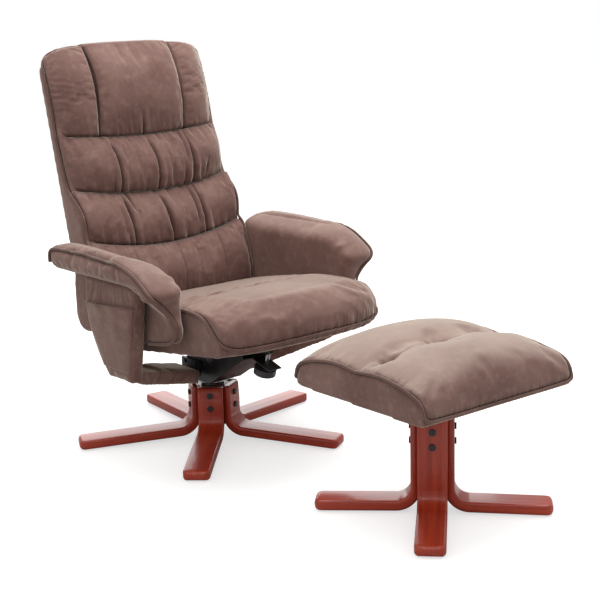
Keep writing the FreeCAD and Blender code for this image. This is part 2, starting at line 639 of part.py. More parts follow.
def seat(pieces):
    """Bracket, board, cushion and screws of the seat."""
    pieces["seat_bracket"] = seat_bracket()
    board = box(-SEAT_BOARD_HALF_WIDTH, SEAT_BOARD_HALF_WIDTH, -SEAT_BOARD_FRONT, SEAT_BOARD_REAR, 0, SEAT_BOARD_THICK)
    cushion = soft(SEAT_SHARES, SEAT_STATION_SHARES, SEAT_WIDTH, SEAT_FRONT, SEAT_HEIGHT)
    pocket = box(-SEAT_BOARD_HALF_WIDTH, SEAT_BOARD_HALF_WIDTH, -SEAT_BOARD_FRONT, SEAT_BOARD_REAR, -OVERRUN,
                 SEAT_BOARD_THICK)
    pieces["seat_cushion"] = on_seat(cushion.cut(pocket))
    spots = []
    for x in (-1, 1):
        for y in (SCREW_LENGTH * 2 - BRACKET_FRONT, BRACKET_REAR - SCREW_LENGTH * 2):
            spots.append(V(x * (BRACKET_HALF_WIDTH - SCREW_LENGTH), y, 0))
    screws = [screw(V(s.x, s.y, -BRACKET_PLATE), BRACKET_PLATE) for s in spots]
    board = board.cut(group(screws))
    pieces["seat_board"] = on_seat(board)
    pieces["seat_bracket"] = pieces["seat_bracket"].cut(on_seat(group(screws)))
    pieces["seat_screws"] = on_seat(group(screws))


def screw(spot, grip):
    """Round-head screw driven upwards, its head under the spot."""
    head = rod(SCREW_HEAD_RADIUS, spot - V(0, 0, SCREW_HEAD_HEIGHT), Z_AXIS, SCREW_HEAD_HEIGHT)
    return head.fuse(rod(SCREW_RADIUS, spot, Z_AXIS, grip + SCREW_LENGTH)).removeSplitter()


def back_strap():
    """Steel strap from under the seat board up into the back, on the right."""
    x0 = STRAP_SIDE - STRAP_WIDTH / 2
    x1 = STRAP_SIDE + STRAP_WIDTH / 2
    rise = box(x0, x1, -BACK_SHELL, STRAP_THICK - BACK_SHELL, -STRAP_BOTTOM, STRAP_TOP)
    foot = box(x0, x1, STRAP_FOOT_FRONT, STRAP_FOOT_REAR, -STRAP_THICK, 0)
    return on_back(rise).fuse(on_seat(foot)).removeSplitter()


def sagging(seam, sag, x):
    """Height of a seam at a place across the back: highest at the sides."""
    return seam - sag * (1 - (2 * x / BACK_WIDTH) ** 2)


def back_part(shares, stations, start, width, depth, low, high):
    """Front cushion of the back between two seams, each given as its side height and its sag."""
    wires = []
    for at, deep, tall in stations:
        x = start + at * width
        bottom = sagging(low[0], low[1], x) + SEAM_GAP / 2
        top = sagging(high[0], high[1], x) - SEAM_GAP / 2
        wire = outline(x, shares, deep * depth, tall * (top - bottom), depth)
        wires.append(moved(wire, V(0, -BACK_SHELL, bottom)))
    return on_back(Part.makeLoft(wires, True, False))


def pillow_stations(edge_share):
    """Stations of a roll that is drawn in to a share of its depth at both sides."""
    near_share = edge_share + (1 - edge_share) * ROLL_NEAR_SHARE
    half = [(-0.5, edge_share, 1.0), (-0.43, near_share, 1.0), (-0.22, ROLL_FULL_SHARE, 1.0)]
    return half + [(0.0, 1.0, 1.0)] + [(-at, deep, tall) for at, deep, tall in reversed(half)]


def back(pieces):
    """Shell, board, straps and the front cushions of the back."""
    half = BACK_WIDTH / 2 - BACK_RIM
    shell = soft(SHELL_SHARES, SHELL_STATION_SHARES, BACK_WIDTH, BACK_SHELL, BACK_HEIGHT)
    low = BACK_RIM
    high = BACK_HEIGHT * SHELL_STATION_SHARES[0][2] - 2 * BACK_RIM
    shell = shell.cut(box(-half, half, -BACK_SHELL - OVERRUN, -BACK_SKIN, low, high))
    slot = box(STRAP_SIDE - STRAP_WIDTH / 2 - STRAP_FIT, STRAP_SIDE + STRAP_WIDTH / 2 + STRAP_FIT,
               -BACK_SHELL - OVERRUN, STRAP_THICK - BACK_SHELL, -OVERRUN, low + OVERRUN)
    shell = shell.cut(slot).cut(mirrored(slot))
    pieces["back_shell"] = on_back(shell)
    board = box(-half, half, -BACK_SKIN - BACK_BOARD_THICK, -BACK_SKIN, low, high)
    pieces["back_board"] = on_back(board)
    strap = back_strap()
    pieces["back_strap_right"] = mirrored(strap)
    pieces["back_strap_left"] = strap
    seams = [(LUMBAR_LOW, 0), (LUMBAR_TOP, LUMBAR_SAG), (ROLL_SEAM, ROLL_SAG), (HEAD_SEAM, HEAD_SAG), (BACK_HEIGHT, 0)]
    rows = (("back_lumbar", LUMBAR_SHARES, LUMBAR_EDGE_SHARE, LUMBAR_DEPTH),
            ("back_lower_roll", LOWER_SHARES, LOWER_EDGE_SHARE, ROLL_DEPTH),
            ("back_upper_roll", ROLL_SHARES, UPPER_EDGE_SHARE, ROLL_DEPTH))
    for k, (name, shares, edge_share, depth) in enumerate(rows):
        pieces[name] = back_part(shares, pillow_stations(edge_share), 0, BACK_WIDTH, depth, seams[k], seams[k + 1])
    pieces["back_head_panel"] = back_part(HEAD_SHARES, HEAD_STATION_SHARES, 0, HEAD_PANEL_WIDTH - SEAM_GAP, HEAD_DEPTH,
                                          seams[3], seams[4])
    wing_width = (BACK_WIDTH - HEAD_PANEL_WIDTH) / 2
    wing = back_part(HEAD_SHARES, WING_STATION_SHARES, HEAD_PANEL_WIDTH / 2, wing_width, WING_DEPTH, seams[3], seams[4])
    pieces["back_head_wing_left"] = wing
    pieces["back_head_wing_right"] = mirrored(wing)


def bar_line(top):
    """Centre line of the left arm bar from the pan out and up to a height."""
    corner = BAR_START_HEIGHT + (BAR_SIDE - PAN_HALF_WIDTH) * math.tan(math.radians(BAR_SLOPE))
    return [V(PAN_HALF_WIDTH + BAR_THICK / 2, 0, BAR_START_HEIGHT), V(BAR_SIDE, 0, corner), V(BAR_SIDE, 0, top)]


def arm_bar():
    """Flat bar of the left arm: foot on the pan, out, up, and in under the arm board."""
    run = bar_line(ARM_BOARD_BOTTOM - BAR_THICK / 2)
    foot = V(PAN_HALF_WIDTH + BAR_THICK / 2, 0, BAR_FOOT_TOP)
    head = V(BAR_TOP_INNER, 0, ARM_BOARD_BOTTOM - BAR_THICK / 2)
    bar = strip([foot] + run + [head], BAR_THICK, BAR_FOOT_BEND, BAR_WIDTH, BAR_SWEEP)
    bar = moved(bar, V(0, BAR_SETBACK, 0))
    bar = bar.cut(box(0, PAN_HALF_WIDTH, -BAR_WIDTH, 2 * BAR_WIDTH, 0, ARM_BOARD_BOTTOM))
    for hole in bar_bolt_shanks(OVERRUN, FIT):
        bar = bar.cut(hole)
    return bar


def sleeve_side(top):
    """Upright part of the left sleeve: a slab cut to its side view, with a hollow rear edge."""
    front_low = V(0, -SLEEVE_FORWARD, SLEEVE_LOW_HEIGHT)
    front_top = V(0, -SLEEVE_TOP_FORWARD, top)
    rear_top = V(0, SLEEVE_TOP_REAR, top)
    rear_low = V(0, -SLEEVE_LOW_REAR, SLEEVE_LOW_HEIGHT)
    edges = [line(front_low, front_top), line(front_top, rear_top),
             arc(rear_top, V(0, SLEEVE_MID_REAR, SLEEVE_MID_HEIGHT), rear_low), line(rear_low, front_low)]
    face = moved(Part.Face(Part.Wire(edges)), V(BAR_SIDE - SLEEVE_THICK / 2, 0, 0))
    slab = face.extrude(V(SLEEVE_THICK, 0, 0))
    upright = [e for e in slab.Edges if e.BoundBox.XLength < FIT and e.BoundBox.ZLength > SLEEVE_THICK]
    return slab.makeFillet(SLEEVE_ROUND, upright)


def arm_sleeve():
    """Padded sleeve round the left arm bar, wider towards the arm."""
    top = ARM_BOARD_BOTTOM - BAR_THICK - BAR_FOOT_BEND
    run = bar_line(top)
    slope = (run[1] - run[0]).normalize()
    start = run[0] + slope * (SLEEVE_START - PAN_HALF_WIDTH)
    knee = V(BAR_SIDE, 0, SLEEVE_MID_HEIGHT)
    band = strip([start, run[1], knee], SLEEVE_THICK, SLEEVE_BEND, SLEEVE_WIDTH, BAR_SWEEP)
    sleeve = moved(band, V(0, BAR_SETBACK, 0)).fuse(sleeve_side(top))
    room = strip(bar_line(top + OVERRUN), BAR_THICK, BAR_FOOT_BEND, BAR_WIDTH, BAR_SWEEP)
    return sleeve.cut(moved(room, V(0, BAR_SETBACK, 0))).removeSplitter()


def arm_board():
    """Board of the left arm, on the bar's top flange."""
    return box(ARM_BOARD_INNER, ARM_BOARD_INNER + ARM_BOARD_WIDTH, -ARM_BOARD_FRONT, ARM_BOARD_REAR, ARM_BOARD_BOTTOM, ARM_TOP)


def arm_pad():
    """Top cushion of the left arm, with its drooping nose."""
    pad = soft(PAD_SHARES, PAD_STATION_SHARES, ARM_WIDTH, ARM_PAD_LENGTH, ARM_PAD_HEIGHT)
    return moved(pad, V(ARM_INNER, ARM_REAR, ARM_TOP))


def arm_core():
    """Padded inner panel of the left arm, below the board."""
    core = soft(CORE_SHARES, CORE_STATION_SHARES, ARM_CORE_THICK, ARM_CORE_LENGTH, ARM_CORE_HEIGHT)
    core = moved(core, V(ARM_INNER, ARM_REAR, ARM_BOARD_BOTTOM - ARM_CORE_HEIGHT))
    return core.cut(arm_board())


def arm_pocket():
    """Pouch on the outside of the right sleeve, open at the top."""
    x0 = SLEEVE_OUTER + POCKET_GAP
    x1 = x0 + POCKET_THICK
    block = box(x0, x1, -POCKET_FRONT, -POCKET_REAR, POCKET_LOW, POCKET_TOP)
    edges = [e for e in block.Edges if abs(e.BoundBox.ZMax - POCKET_LOW) < FIT and e.BoundBox.XLength > FIT]
    block = block.makeFillet(POCKET_ROUND, edges)
    room = box(x0 + POCKET_WALL, x1 - POCKET_WALL, POCKET_WALL - POCKET_FRONT, -POCKET_REAR - POCKET_WALL,
               POCKET_LOW + POCKET_ROUND, POCKET_TOP + OVERRUN)
    return mirrored(block.cut(room))


def arms(pieces):
    """Both arms with their bars, sleeves, boards, pads, panels, bolts and screws."""
    bar = arm_bar()
    sleeve = arm_sleeve()
    board = arm_board()
    screws = []
    for side in (-1, 1):
        x = (BAR_TOP_INNER + BAR_SIDE) / 2
        y = bar_middle(x) + side * ARM_SCREW_ROW / 2
        head = ARM_BOARD_BOTTOM - BAR_THICK
        shank = rod(SCREW_RADIUS, V(x, y, head), Z_AXIS, BAR_THICK + ARM_BOARD_THICK * 4 / 5)
        screws.append(rod(SCREW_HEAD_RADIUS, V(x, y, head - SCREW_HEAD_HEIGHT), Z_AXIS, SCREW_HEAD_HEIGHT).fuse(shank))
    bar = bar.cut(group(screws))
    board = board.cut(group(screws))
    bolts = []
    for shank in bar_bolt_shanks(0, 0):
        spot = V(PAN_HALF_WIDTH + BAR_THICK, shank.CenterOfMass.y, BAR_BOLT_HEIGHT)
        bolts.append(shank.fuse(rod(BAR_BOLT_HEAD, spot, X_AXIS, BAR_BOLT_RADIUS)).removeSplitter())
    for name, shape in (("arm_bar", bar), ("arm_sleeve", sleeve), ("arm_board", board), ("arm_pad", arm_pad()),
                        ("arm_core", arm_core())):
        pieces[name + "_left"] = shape
        pieces[name + "_right"] = mirrored(shape)
    pieces["arm_bar_bolts"] = group(bolts + [mirrored(b) for b in bolts])
    pieces["arm_screws"] = group(screws + [mirrored(s) for s in screws])
    pieces["arm_pocket"] = arm_pocket()


def stool(pieces):
    """Footstool: core, legs, bolts, glides, plate, board and cushion."""
    flats = [360 * k / STOOL_LEGS for k in range(STOOL_LEGS)]
    angles = [flat + 180 / STOOL_LEGS for flat in flats]
    hub = prism_hub(STOOL_LEGS, STOOL_HUB_APOTHEM, STOOL_HUB_BOTTOM, STOOL_LEG_TOP, STOOL_BOLT_TOP, flats)
    pieces["stool_hub"] = on_stool(turned(hub, Z_AXIS, angles[0]))
    leg = bent_leg(STOOL_LEGS, STOOL_HUB_APOTHEM, STOOL_TIP_RADIUS, STOOL_LEG_TOP, STOOL_LEG_RISE, STOOL_BOLT_TOP)
    bolts = []
    glides = []
    for k, angle in enumerate(angles):
        pieces["stool_leg_%d" % (k + 1)] = on_stool(turned(leg, Z_AXIS, angle))
        bolts += [on_stool(turned(b, Z_AXIS, angle)) for b in leg_bolts(STOOL_HUB_APOTHEM, STOOL_BOLT_TOP)]
        glides.append(on_stool(turned(glide(STOOL_TIP_RADIUS), Z_AXIS, angle)))
    pieces["stool_leg_bolts"] = group(bolts)
    pieces["stool_glides"] = group(glides)
    side = STOOL_PLATE_HALF
    top = box(-side, side, -side, side, STOOL_LEG_TOP, STOOL_BOARD_BOTTOM)
    edge = STOOL_BOARD_HALF
    board = box(-edge, edge, -edge, edge, STOOL_BOARD_BOTTOM, STOOL_BOARD_BOTTOM + STOOL_BOARD_THICK)
    inset = side - 2 * SCREW_HEAD_RADIUS
    screws = [screw(V(x * inset, y * inset, STOOL_LEG_TOP), 0) for x in (-1, 1) for y in (-1, 1)]
    pieces["stool_plate"] = on_stool(top.cut(group(screws)))
    pieces["stool_board"] = on_stool(board.cut(group(screws)))
    pieces["stool_screws"] = on_stool(group(screws))
    cushion = soft(STOOL_SHARES, STOOL_STATION_SHARES, STOOL_WIDTH, STOOL_DEPTH, STOOL_HEIGHT)
    crown = STOOL_HEIGHT * STOOL_SHARES[3][1][1]
    for k in (-1, 0, 1):
        fall = STOOL_HEIGHT * (1 - STOOL_STATION_SHARES[2][2]) * abs(k)
        spot = V(k * STOOL_TUFT_SPACING, 0, crown - fall + STOOL_TUFT_RADIUS - STOOL_TUFT_DEPTH)
        cushion = cushion.cut(Part.makeSphere(STOOL_TUFT_RADIUS, spot))
    bottom = STOOL_BOARD_BOTTOM - STOOL_SKIRT
    cushion = moved(cushion, V(0, 0, bottom))
    pocket = box(-edge, edge, -edge, edge, 0, STOOL_BOARD_BOTTOM + STOOL_BOARD_THICK)
    pieces["stool_cushion"] = on_stool(cushion.cut(pocket))


def main():
    os.makedirs("parts", exist_ok=True)
    pieces = {}
    for make in (chair_base, swivel, tilt_parts, seat, back, arms, stool):
        make(pieces)
    for name, shape in pieces.items():
        shape.exportStep("parts/%s.step" % name)
        size = shape.BoundBox
        print("%-22s valid %s solids %d  x %.0f..%.0f  y %.0f..%.0f  z %.0f..%.0f" % (
            name, shape.isValid(), len(shape.Solids), size.XMin, size.XMax, size.YMin, size.YMax, size.ZMin, size.ZMax))


main()
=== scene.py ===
# %% [markdown]
# # Swivel recliner with its footstool
# The chair is a padded seat and back on a star of bent-wood legs, and the footstool is a padded top on a
# smaller star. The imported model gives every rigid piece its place. This script loads it as a fixed frame
# and dresses it: wood, steel and plastic get their finishes, and each stuffed piece is made again as cloth.

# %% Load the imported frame
import json
import math

import bmesh
import bpy
import numpy as np
from mathutils import Matrix, Vector
from mathutils.bvhtree import BVHTree


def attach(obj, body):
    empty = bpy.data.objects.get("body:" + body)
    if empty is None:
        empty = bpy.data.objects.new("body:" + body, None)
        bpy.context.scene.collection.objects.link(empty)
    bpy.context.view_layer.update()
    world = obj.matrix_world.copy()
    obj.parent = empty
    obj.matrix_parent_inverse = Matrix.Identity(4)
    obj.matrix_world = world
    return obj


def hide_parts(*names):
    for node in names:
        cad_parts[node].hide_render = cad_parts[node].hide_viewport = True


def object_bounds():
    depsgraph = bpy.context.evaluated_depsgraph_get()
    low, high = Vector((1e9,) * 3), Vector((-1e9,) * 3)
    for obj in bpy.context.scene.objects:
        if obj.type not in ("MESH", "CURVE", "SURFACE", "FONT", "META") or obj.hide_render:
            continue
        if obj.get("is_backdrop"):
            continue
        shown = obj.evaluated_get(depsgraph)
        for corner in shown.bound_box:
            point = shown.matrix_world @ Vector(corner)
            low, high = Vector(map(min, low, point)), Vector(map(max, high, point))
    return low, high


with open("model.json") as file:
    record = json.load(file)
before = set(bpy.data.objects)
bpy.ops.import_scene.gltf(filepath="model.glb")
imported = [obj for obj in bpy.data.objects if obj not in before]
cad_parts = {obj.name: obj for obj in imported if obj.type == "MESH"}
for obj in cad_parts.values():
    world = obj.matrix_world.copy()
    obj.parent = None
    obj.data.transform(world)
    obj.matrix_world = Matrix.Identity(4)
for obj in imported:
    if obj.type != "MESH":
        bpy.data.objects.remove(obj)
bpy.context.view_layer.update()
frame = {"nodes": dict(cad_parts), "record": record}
nodes = frame["nodes"]

# %% [markdown]
# The camera stands where the photographer stood: in front of the chair, to its right, a little above
# seat height. Its matrix is built from three directions. A camera looks along its own -Z, so the third
# column is the direction from the chair back to the lens. The small roll is the photograph's own tilt.

# %% Camera
CAMERA_PLACE = Vector((-1.878, -2.602, 1.106))
CAMERA_RIGHT = Vector((0.7660, -0.6428, 0.0))
CAMERA_UP = Vector((0.1470, 0.1752, 0.9735))
CAMERA_ROLL = math.radians(1.57)
CAMERA_LENS = 76.56


def make_camera():
    """Camera whose right and up directions are turned by the roll about its line of sight."""
    right = CAMERA_RIGHT * math.cos(CAMERA_ROLL) - CAMERA_UP * math.sin(CAMERA_ROLL)
    up = CAMERA_RIGHT * math.sin(CAMERA_ROLL) + CAMERA_UP * math.cos(CAMERA_ROLL)
    back = right.cross(up)
    data = bpy.data.cameras.new("camera")
    data.lens = CAMERA_LENS
    camera = bpy.data.objects.new("camera", data)
    turn = Matrix((right, up, back)).transposed().to_4x4()
    camera.matrix_world = Matrix.Translation(CAMERA_PLACE) @ turn
    bpy.context.scene.collection.objects.link(camera)
    bpy.context.scene.camera = camera
    return camera


camera = make_camera()
print("camera lens", camera.data.lens, "mm at", [round(c, 2) for c in camera.location])

# %% [markdown]
# A product photograph is lit by large soft boxes in a white room. Here the room is the world's own
# white light, and five area lights give the cloth its gentle modelling: a large one overhead that makes
# the tops pale, one behind that draws the edges, and a weak key, side and fill light in front. The
# lens sees the room and the floor as plain white; as light, the room is dimmer towards the floor.

# %% Lights
scene = bpy.context.scene


def area_light(name, place, aim, size, power):
    """Square soft box at a place, turned to face a point."""
    data = bpy.data.lights.new(name, "AREA")
    data.size = size
    data.energy = power
    lamp = bpy.data.objects.new(name, data)
    direction = Vector(aim) - Vector(place)
    lamp.matrix_world = Matrix.Translation(place) @ direction.to_track_quat("-Z", "Y").to_matrix().to_4x4()
    scene.collection.objects.link(lamp)
    return lamp


AIM = (0.0, -0.3, 0.4)
LAMPS = (("overhead", (0.5, 0.0, 2.9), 2.6, 90), ("backdrop", (1.76, 2.43, 1.0), 3.0, 44),
         ("key", (-2.0, -2.4, 2.9), 1.8, 9), ("side", (-3.2, -0.2, 1.1), 1.6, 9),
         ("fill", (2.6, -2.8, 1.4), 2.4, 8))
for name, place, size, power in LAMPS:
    area_light(name, place, AIM, size, power)

# %% [markdown]
# The room could be a big white box, but its walls would need light of their own. The world's background
# does the same with a few nodes: the height of the ray's direction sets how bright the room is as a light,
# and rays that come straight from the lens see plain white.

# %% White room and floor
ROOM_LOW, ROOM_HIGH = 0.16, 0.95
HORIZON, ZENITH = -0.1, 0.8

def make_world():
    """White room: full white to the lens; as light, bright overhead and dim towards the floor."""
    room = bpy.data.worlds.new("studio")
    room.use_nodes = True
    tree = room.node_tree
    path = tree.nodes.new("ShaderNodeLightPath")
    where = tree.nodes.new("ShaderNodeTexCoord")
    parts = tree.nodes.new("ShaderNodeSeparateXYZ")
    tree.links.new(where.outputs["Generated"], parts.inputs[0])
    height = tree.nodes.new("ShaderNodeMapRange")
    for k, value in enumerate((HORIZON, ZENITH, ROOM_LOW, ROOM_HIGH)):
        height.inputs[k + 1].default_value = value
    tree.links.new(parts.outputs["Z"], height.inputs["Value"])
    seen = tree.nodes.new("ShaderNodeMix")
    tree.links.new(path.outputs["Is Camera Ray"], seen.inputs[0])
    tree.links.new(height.outputs["Result"], seen.inputs[2])
    seen.inputs[3].default_value = 1.0
    tree.links.new(seen.outputs[0], tree.nodes["Background"].inputs["Strength"])
    tree.nodes["Background"].inputs["Color"].default_value = (1.0, 1.0, 1.0, 1.0)
    return room


scene.world = make_world()
scene.view_settings.view_transform = "Standard"

FLOOR_HALF, FLOOR_DROP = 14.0, 0.0004
floor_mesh = bpy.data.meshes.new("floor")
floor_corners = [(x * FLOOR_HALF, y * FLOOR_HALF, -FLOOR_DROP) for x, y in ((-1, -1), (1, -1), (1, 1), (-1, 1))]
floor_mesh.from_pydata(floor_corners, [], [(0, 1, 2, 3)])
floor = bpy.data.objects.new("floor", floor_mesh)
scene.collection.objects.link(floor)
floor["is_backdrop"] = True
print("floor is", FLOOR_HALF * 2, "m wide")

# %% [markdown]
# Finishes are built from shader nodes. A few small helpers keep the wiring readable: one adds a node
# with its settings, and one makes a node group with named sockets. A group holds an effect that several
# finishes share, and each finish gives it its own values.

# %% Node helpers


def add_node(tree, kind, values=None, **settings):
    """Adds a node, sets its properties, then its input sockets by name or number."""
    made = tree.nodes.new(kind)
    for key, value in settings.items():
        setattr(made, key, value)
    for key, value in (values or {}).items():
        made.inputs[key].default_value = value
    return made


def new_group(name, inputs, outputs):
    """Node group with the given sockets; returns the tree and its input and output nodes."""
    tree = bpy.data.node_groups.new(name, "ShaderNodeTree")
    for label, kind in inputs:
        tree.interface.new_socket(label, in_out="INPUT", socket_type="NodeSocket" + kind)
    for label, kind in outputs:
        tree.interface.new_socket(label, in_out="OUTPUT", socket_type="NodeSocket" + kind)
    return tree, tree.nodes.new("NodeGroupInput"), tree.nodes.new("NodeGroupOutput")


def noise_value(tree, vector, scale, detail, rough=0.55):
    """Noise between 0 and 1 over a vector socket."""
    noise = add_node(tree, "ShaderNodeTexNoise", {"Scale": scale, "Detail": detail, "Roughness": rough})
    tree.links.new(vector, noise.inputs["Vector"])
    return noise.outputs["Fac"]


def stretch(tree, value, low, high, to_low=0.0, to_high=1.0):
    """Maps a value range onto another, held at its ends."""
    ranged = add_node(tree, "ShaderNodeMapRange", {1: low, 2: high, 3: to_low, 4: to_high})
    tree.links.new(value, ranged.inputs["Value"])
    return ranged.outputs["Result"]


def blend_colours(tree, factor, first, second):
    """Mixes two colours, each a socket or a plain colour, by a factor socket."""
    mix = add_node(tree, "ShaderNodeMix", data_type="RGBA")
    tree.links.new(factor, mix.inputs[0])
    for socket, colour in ((mix.inputs[6], first), (mix.inputs[7], second)):
        if isinstance(colour, tuple):
            socket.default_value = colour
        else:
            tree.links.new(colour, socket)
    return mix.outputs[2]


def maths(tree, operation, first, second):
    """One sum on two values, each a socket or a number."""
    made = add_node(tree, "ShaderNodeMath", operation=operation)
    for socket, value in ((made.inputs[0], first), (made.inputs[1], second)):
        if isinstance(value, (int, float)):
            socket.default_value = value
        else:
            tree.links.new(value, socket)
    return made.outputs[0]


def srgb(red, green, blue):
    """Linear colour of an sRGB triple given in 0 to 255."""
    parts = [c / 255 for c in (red, green, blue)]
    return tuple(c / 12.92 if c <= 0.04045 else ((c + 0.055) / 1.055) ** 2.4 for c in parts) + (1.0,)


print("white in linear light:", srgb(255, 255, 255))

# %% [markdown]
# The cover is a brushed suede cloth in mauve brown. Three things make it look so: broad clouds where the
# nap lies one way or the other, small rubbed flecks, and a fine grain that scatters light. One group
# makes all three from a position. It also takes two masks of painted light: one is painted shade that
# darkens the cloth where it tucks under a seam, the other is a painted highlight that turns upward-facing
# cloth beige, most of all on the top of the footstool.

# %% Group: brushed nap


def make_nap_group():
    """Nap colour, roughness and height: clouds mix deep to mid, flecks to pale, then painted highlight and painted
    shade go over.
    """
    tree, given, result = new_group(
        "brushed nap",
        [("Vector", "Vector"), ("Deep", "Color"), ("Mid", "Color"), ("Pale", "Color"), ("TuckShade", "Color"),
         ("TopLight", "Color"), ("Seam", "Float"), ("Nap", "Float")],
        [("Color", "Color"), ("Roughness", "Float"), ("Height", "Float")])
    place = given.outputs["Vector"]
    clouds = stretch(tree, noise_value(tree, place, 7.5, 5.0, 0.6), 0.34, 0.66)
    flecks = stretch(tree, noise_value(tree, place, 46.0, 6.0, 0.68), 0.50, 0.78, 0.0, 0.55)
    grain = noise_value(tree, place, 1150.0, 2.0, 0.5)
    hide = noise_value(tree, place, 170.0, 4.0, 0.6)
    colour = blend_colours(tree, clouds, given.outputs["Deep"], given.outputs["Mid"])
    colour = blend_colours(tree, flecks, colour, given.outputs["Pale"])
    speck = stretch(tree, grain, 0.42, 0.75, 0.0, 0.16)
    colour = blend_colours(tree, speck, colour, given.outputs["Deep"])
    # Painted highlight: the nap mask pales upward-facing cloth, as if lit from above.
    colour = blend_colours(tree, given.outputs["Nap"], colour, given.outputs["TopLight"])
    # Painted shade: the seam mask darkens the cloth in tucks, creases and beside the piping.
    colour = blend_colours(tree, given.outputs["Seam"], colour, given.outputs["TuckShade"])
    tree.links.new(colour, result.inputs["Color"])
    tree.links.new(stretch(tree, clouds, 0.0, 1.0, 0.86, 0.70), result.inputs["Roughness"])
    height = maths(tree, "ADD", maths(tree, "MULTIPLY", grain, 0.45), maths(tree, "MULTIPLY", hide, 0.7))
    tree.links.new(height, result.inputs["Height"])
    return tree


nap_group = make_nap_group()
print("nap group sockets:", len(nap_group.interface.items_tree))

# %% [markdown]
# Bent wood shows its grain along the bend, so the wood group reads the leg's own UV map, where U runs
# along the leg and V round it. Long noise streaks give the figure and short dark dashes give the pores.

# %% Group: stained grain


def make_grain_group():
    """Stained wood: streaks stretched along U mix dark to light, and fine pores darken the mix."""
    tree, given, result = new_group(
        "stained grain", [("Vector", "Vector"), ("Dark", "Color"), ("Light", "Color"), ("Pore", "Color")],
        [("Color", "Color"), ("Roughness", "Float"), ("Height", "Float")])
    streak_map = add_node(tree, "ShaderNodeMapping", {"Scale": (3.0, 60.0, 60.0)})
    pore_map = add_node(tree, "ShaderNodeMapping", {"Scale": (40.0, 900.0, 900.0)})
    for mapping in (streak_map, pore_map):
        tree.links.new(given.outputs["Vector"], mapping.inputs["Vector"])
    streaks = stretch(tree, noise_value(tree, streak_map.outputs[0], 1.0, 5.0, 0.6), 0.30, 0.72)
    pores = stretch(tree, noise_value(tree, pore_map.outputs[0], 1.0, 2.0, 0.5), 0.56, 0.74, 0.0, 0.7)
    colour = blend_colours(tree, streaks, given.outputs["Dark"], given.outputs["Light"])
    colour = blend_colours(tree, pores, colour, given.outputs["Pore"])
    tree.links.new(colour, result.inputs["Color"])
    tree.links.new(stretch(tree, streaks, 0.0, 1.0, 0.34, 0.26), result.inputs["Roughness"])
    tree.links.new(maths(tree, "SUBTRACT", streaks, pores), result.inputs["Height"])
    return tree


grain_group = make_grain_group()
print("grain group sockets:", len(grain_group.interface.items_tree))

# %% [markdown]
# Painted steel, bare steel, nylon and moulded plastic differ in colour and gloss but wear alike: faint
# clouds of dust and handling, and a fine texture. One group serves them all at its own size.

# %% Group: worn surface


def make_worn_group():
    """Hard surface: clouds mix the base colour to its worn colour and move the roughness between two ends."""
    tree, given, result = new_group(
        "worn surface",
        [("Vector", "Vector"), ("Base", "Color"), ("Worn", "Color"), ("Size", "Float"), ("Smooth", "Float"),
         ("Rough", "Float")],
        [("Color", "Color"), ("Roughness", "Float"), ("Height", "Float")])
    spread = add_node(tree, "ShaderNodeVectorMath", operation="SCALE")
    tree.links.new(given.outputs["Vector"], spread.inputs[0])
    tree.links.new(given.outputs["Size"], spread.inputs["Scale"])
    clouds = stretch(tree, noise_value(tree, spread.outputs[0], 18.0, 5.0, 0.6), 0.35, 0.70)
    texture = noise_value(tree, spread.outputs[0], 620.0, 2.0, 0.5)
    colour = blend_colours(tree, clouds, given.outputs["Base"], given.outputs["Worn"])
    rough = add_node(tree, "ShaderNodeMix", data_type="FLOAT")
    tree.links.new(clouds, rough.inputs[0])
    tree.links.new(given.outputs["Smooth"], rough.inputs[2])
    tree.links.new(given.outputs["Rough"], rough.inputs[3])
    tree.links.new(colour, result.inputs["Color"])
    tree.links.new(rough.outputs[0], result.inputs["Roughness"])
    tree.links.new(texture, result.inputs["Height"])
    return tree


worn_group = make_worn_group()
print("worn group sockets:", len(worn_group.interface.items_tree))

# %% [markdown]
# A finish is a Principled shader fed by one of the groups. What changes over the surface comes through
# the group; what is the same all over, such as sheen or coat, is set on the shader itself.

# %% Finish helper


def make_finish(name, group, colours, source, bump, shader_values, masks=()):
    """Material: coordinates into a group, the group's colour, roughness and height into one shader."""
    finish = bpy.data.materials.new(name)
    finish.use_nodes = True
    tree = finish.node_tree
    shader = tree.nodes["Principled BSDF"]
    for key, value in shader_values.items():
        shader.inputs[key].default_value = value
    effect = add_node(tree, "ShaderNodeGroup", node_tree=group)
    for key, value in colours.items():
        effect.inputs[key].default_value = value
    where = add_node(tree, "ShaderNodeTexCoord")
    tree.links.new(where.outputs[source], effect.inputs["Vector"])
    for key in masks:
        mask = add_node(tree, "ShaderNodeAttribute", attribute_name=key.lower())
        tree.links.new(mask.outputs["Fac"], effect.inputs[key])
    relief = add_node(tree, "ShaderNodeBump", {"Strength": bump[0], "Distance": bump[1]})
    tree.links.new(effect.outputs["Height"], relief.inputs["Height"])
    tree.links.new(effect.outputs["Color"], shader.inputs["Base Color"])
    tree.links.new(effect.outputs["Roughness"], shader.inputs["Roughness"])
    tree.links.new(relief.outputs["Normal"], shader.inputs["Normal"])
    return finish


print("groups ready:", [g.name for g in bpy.data.node_groups])
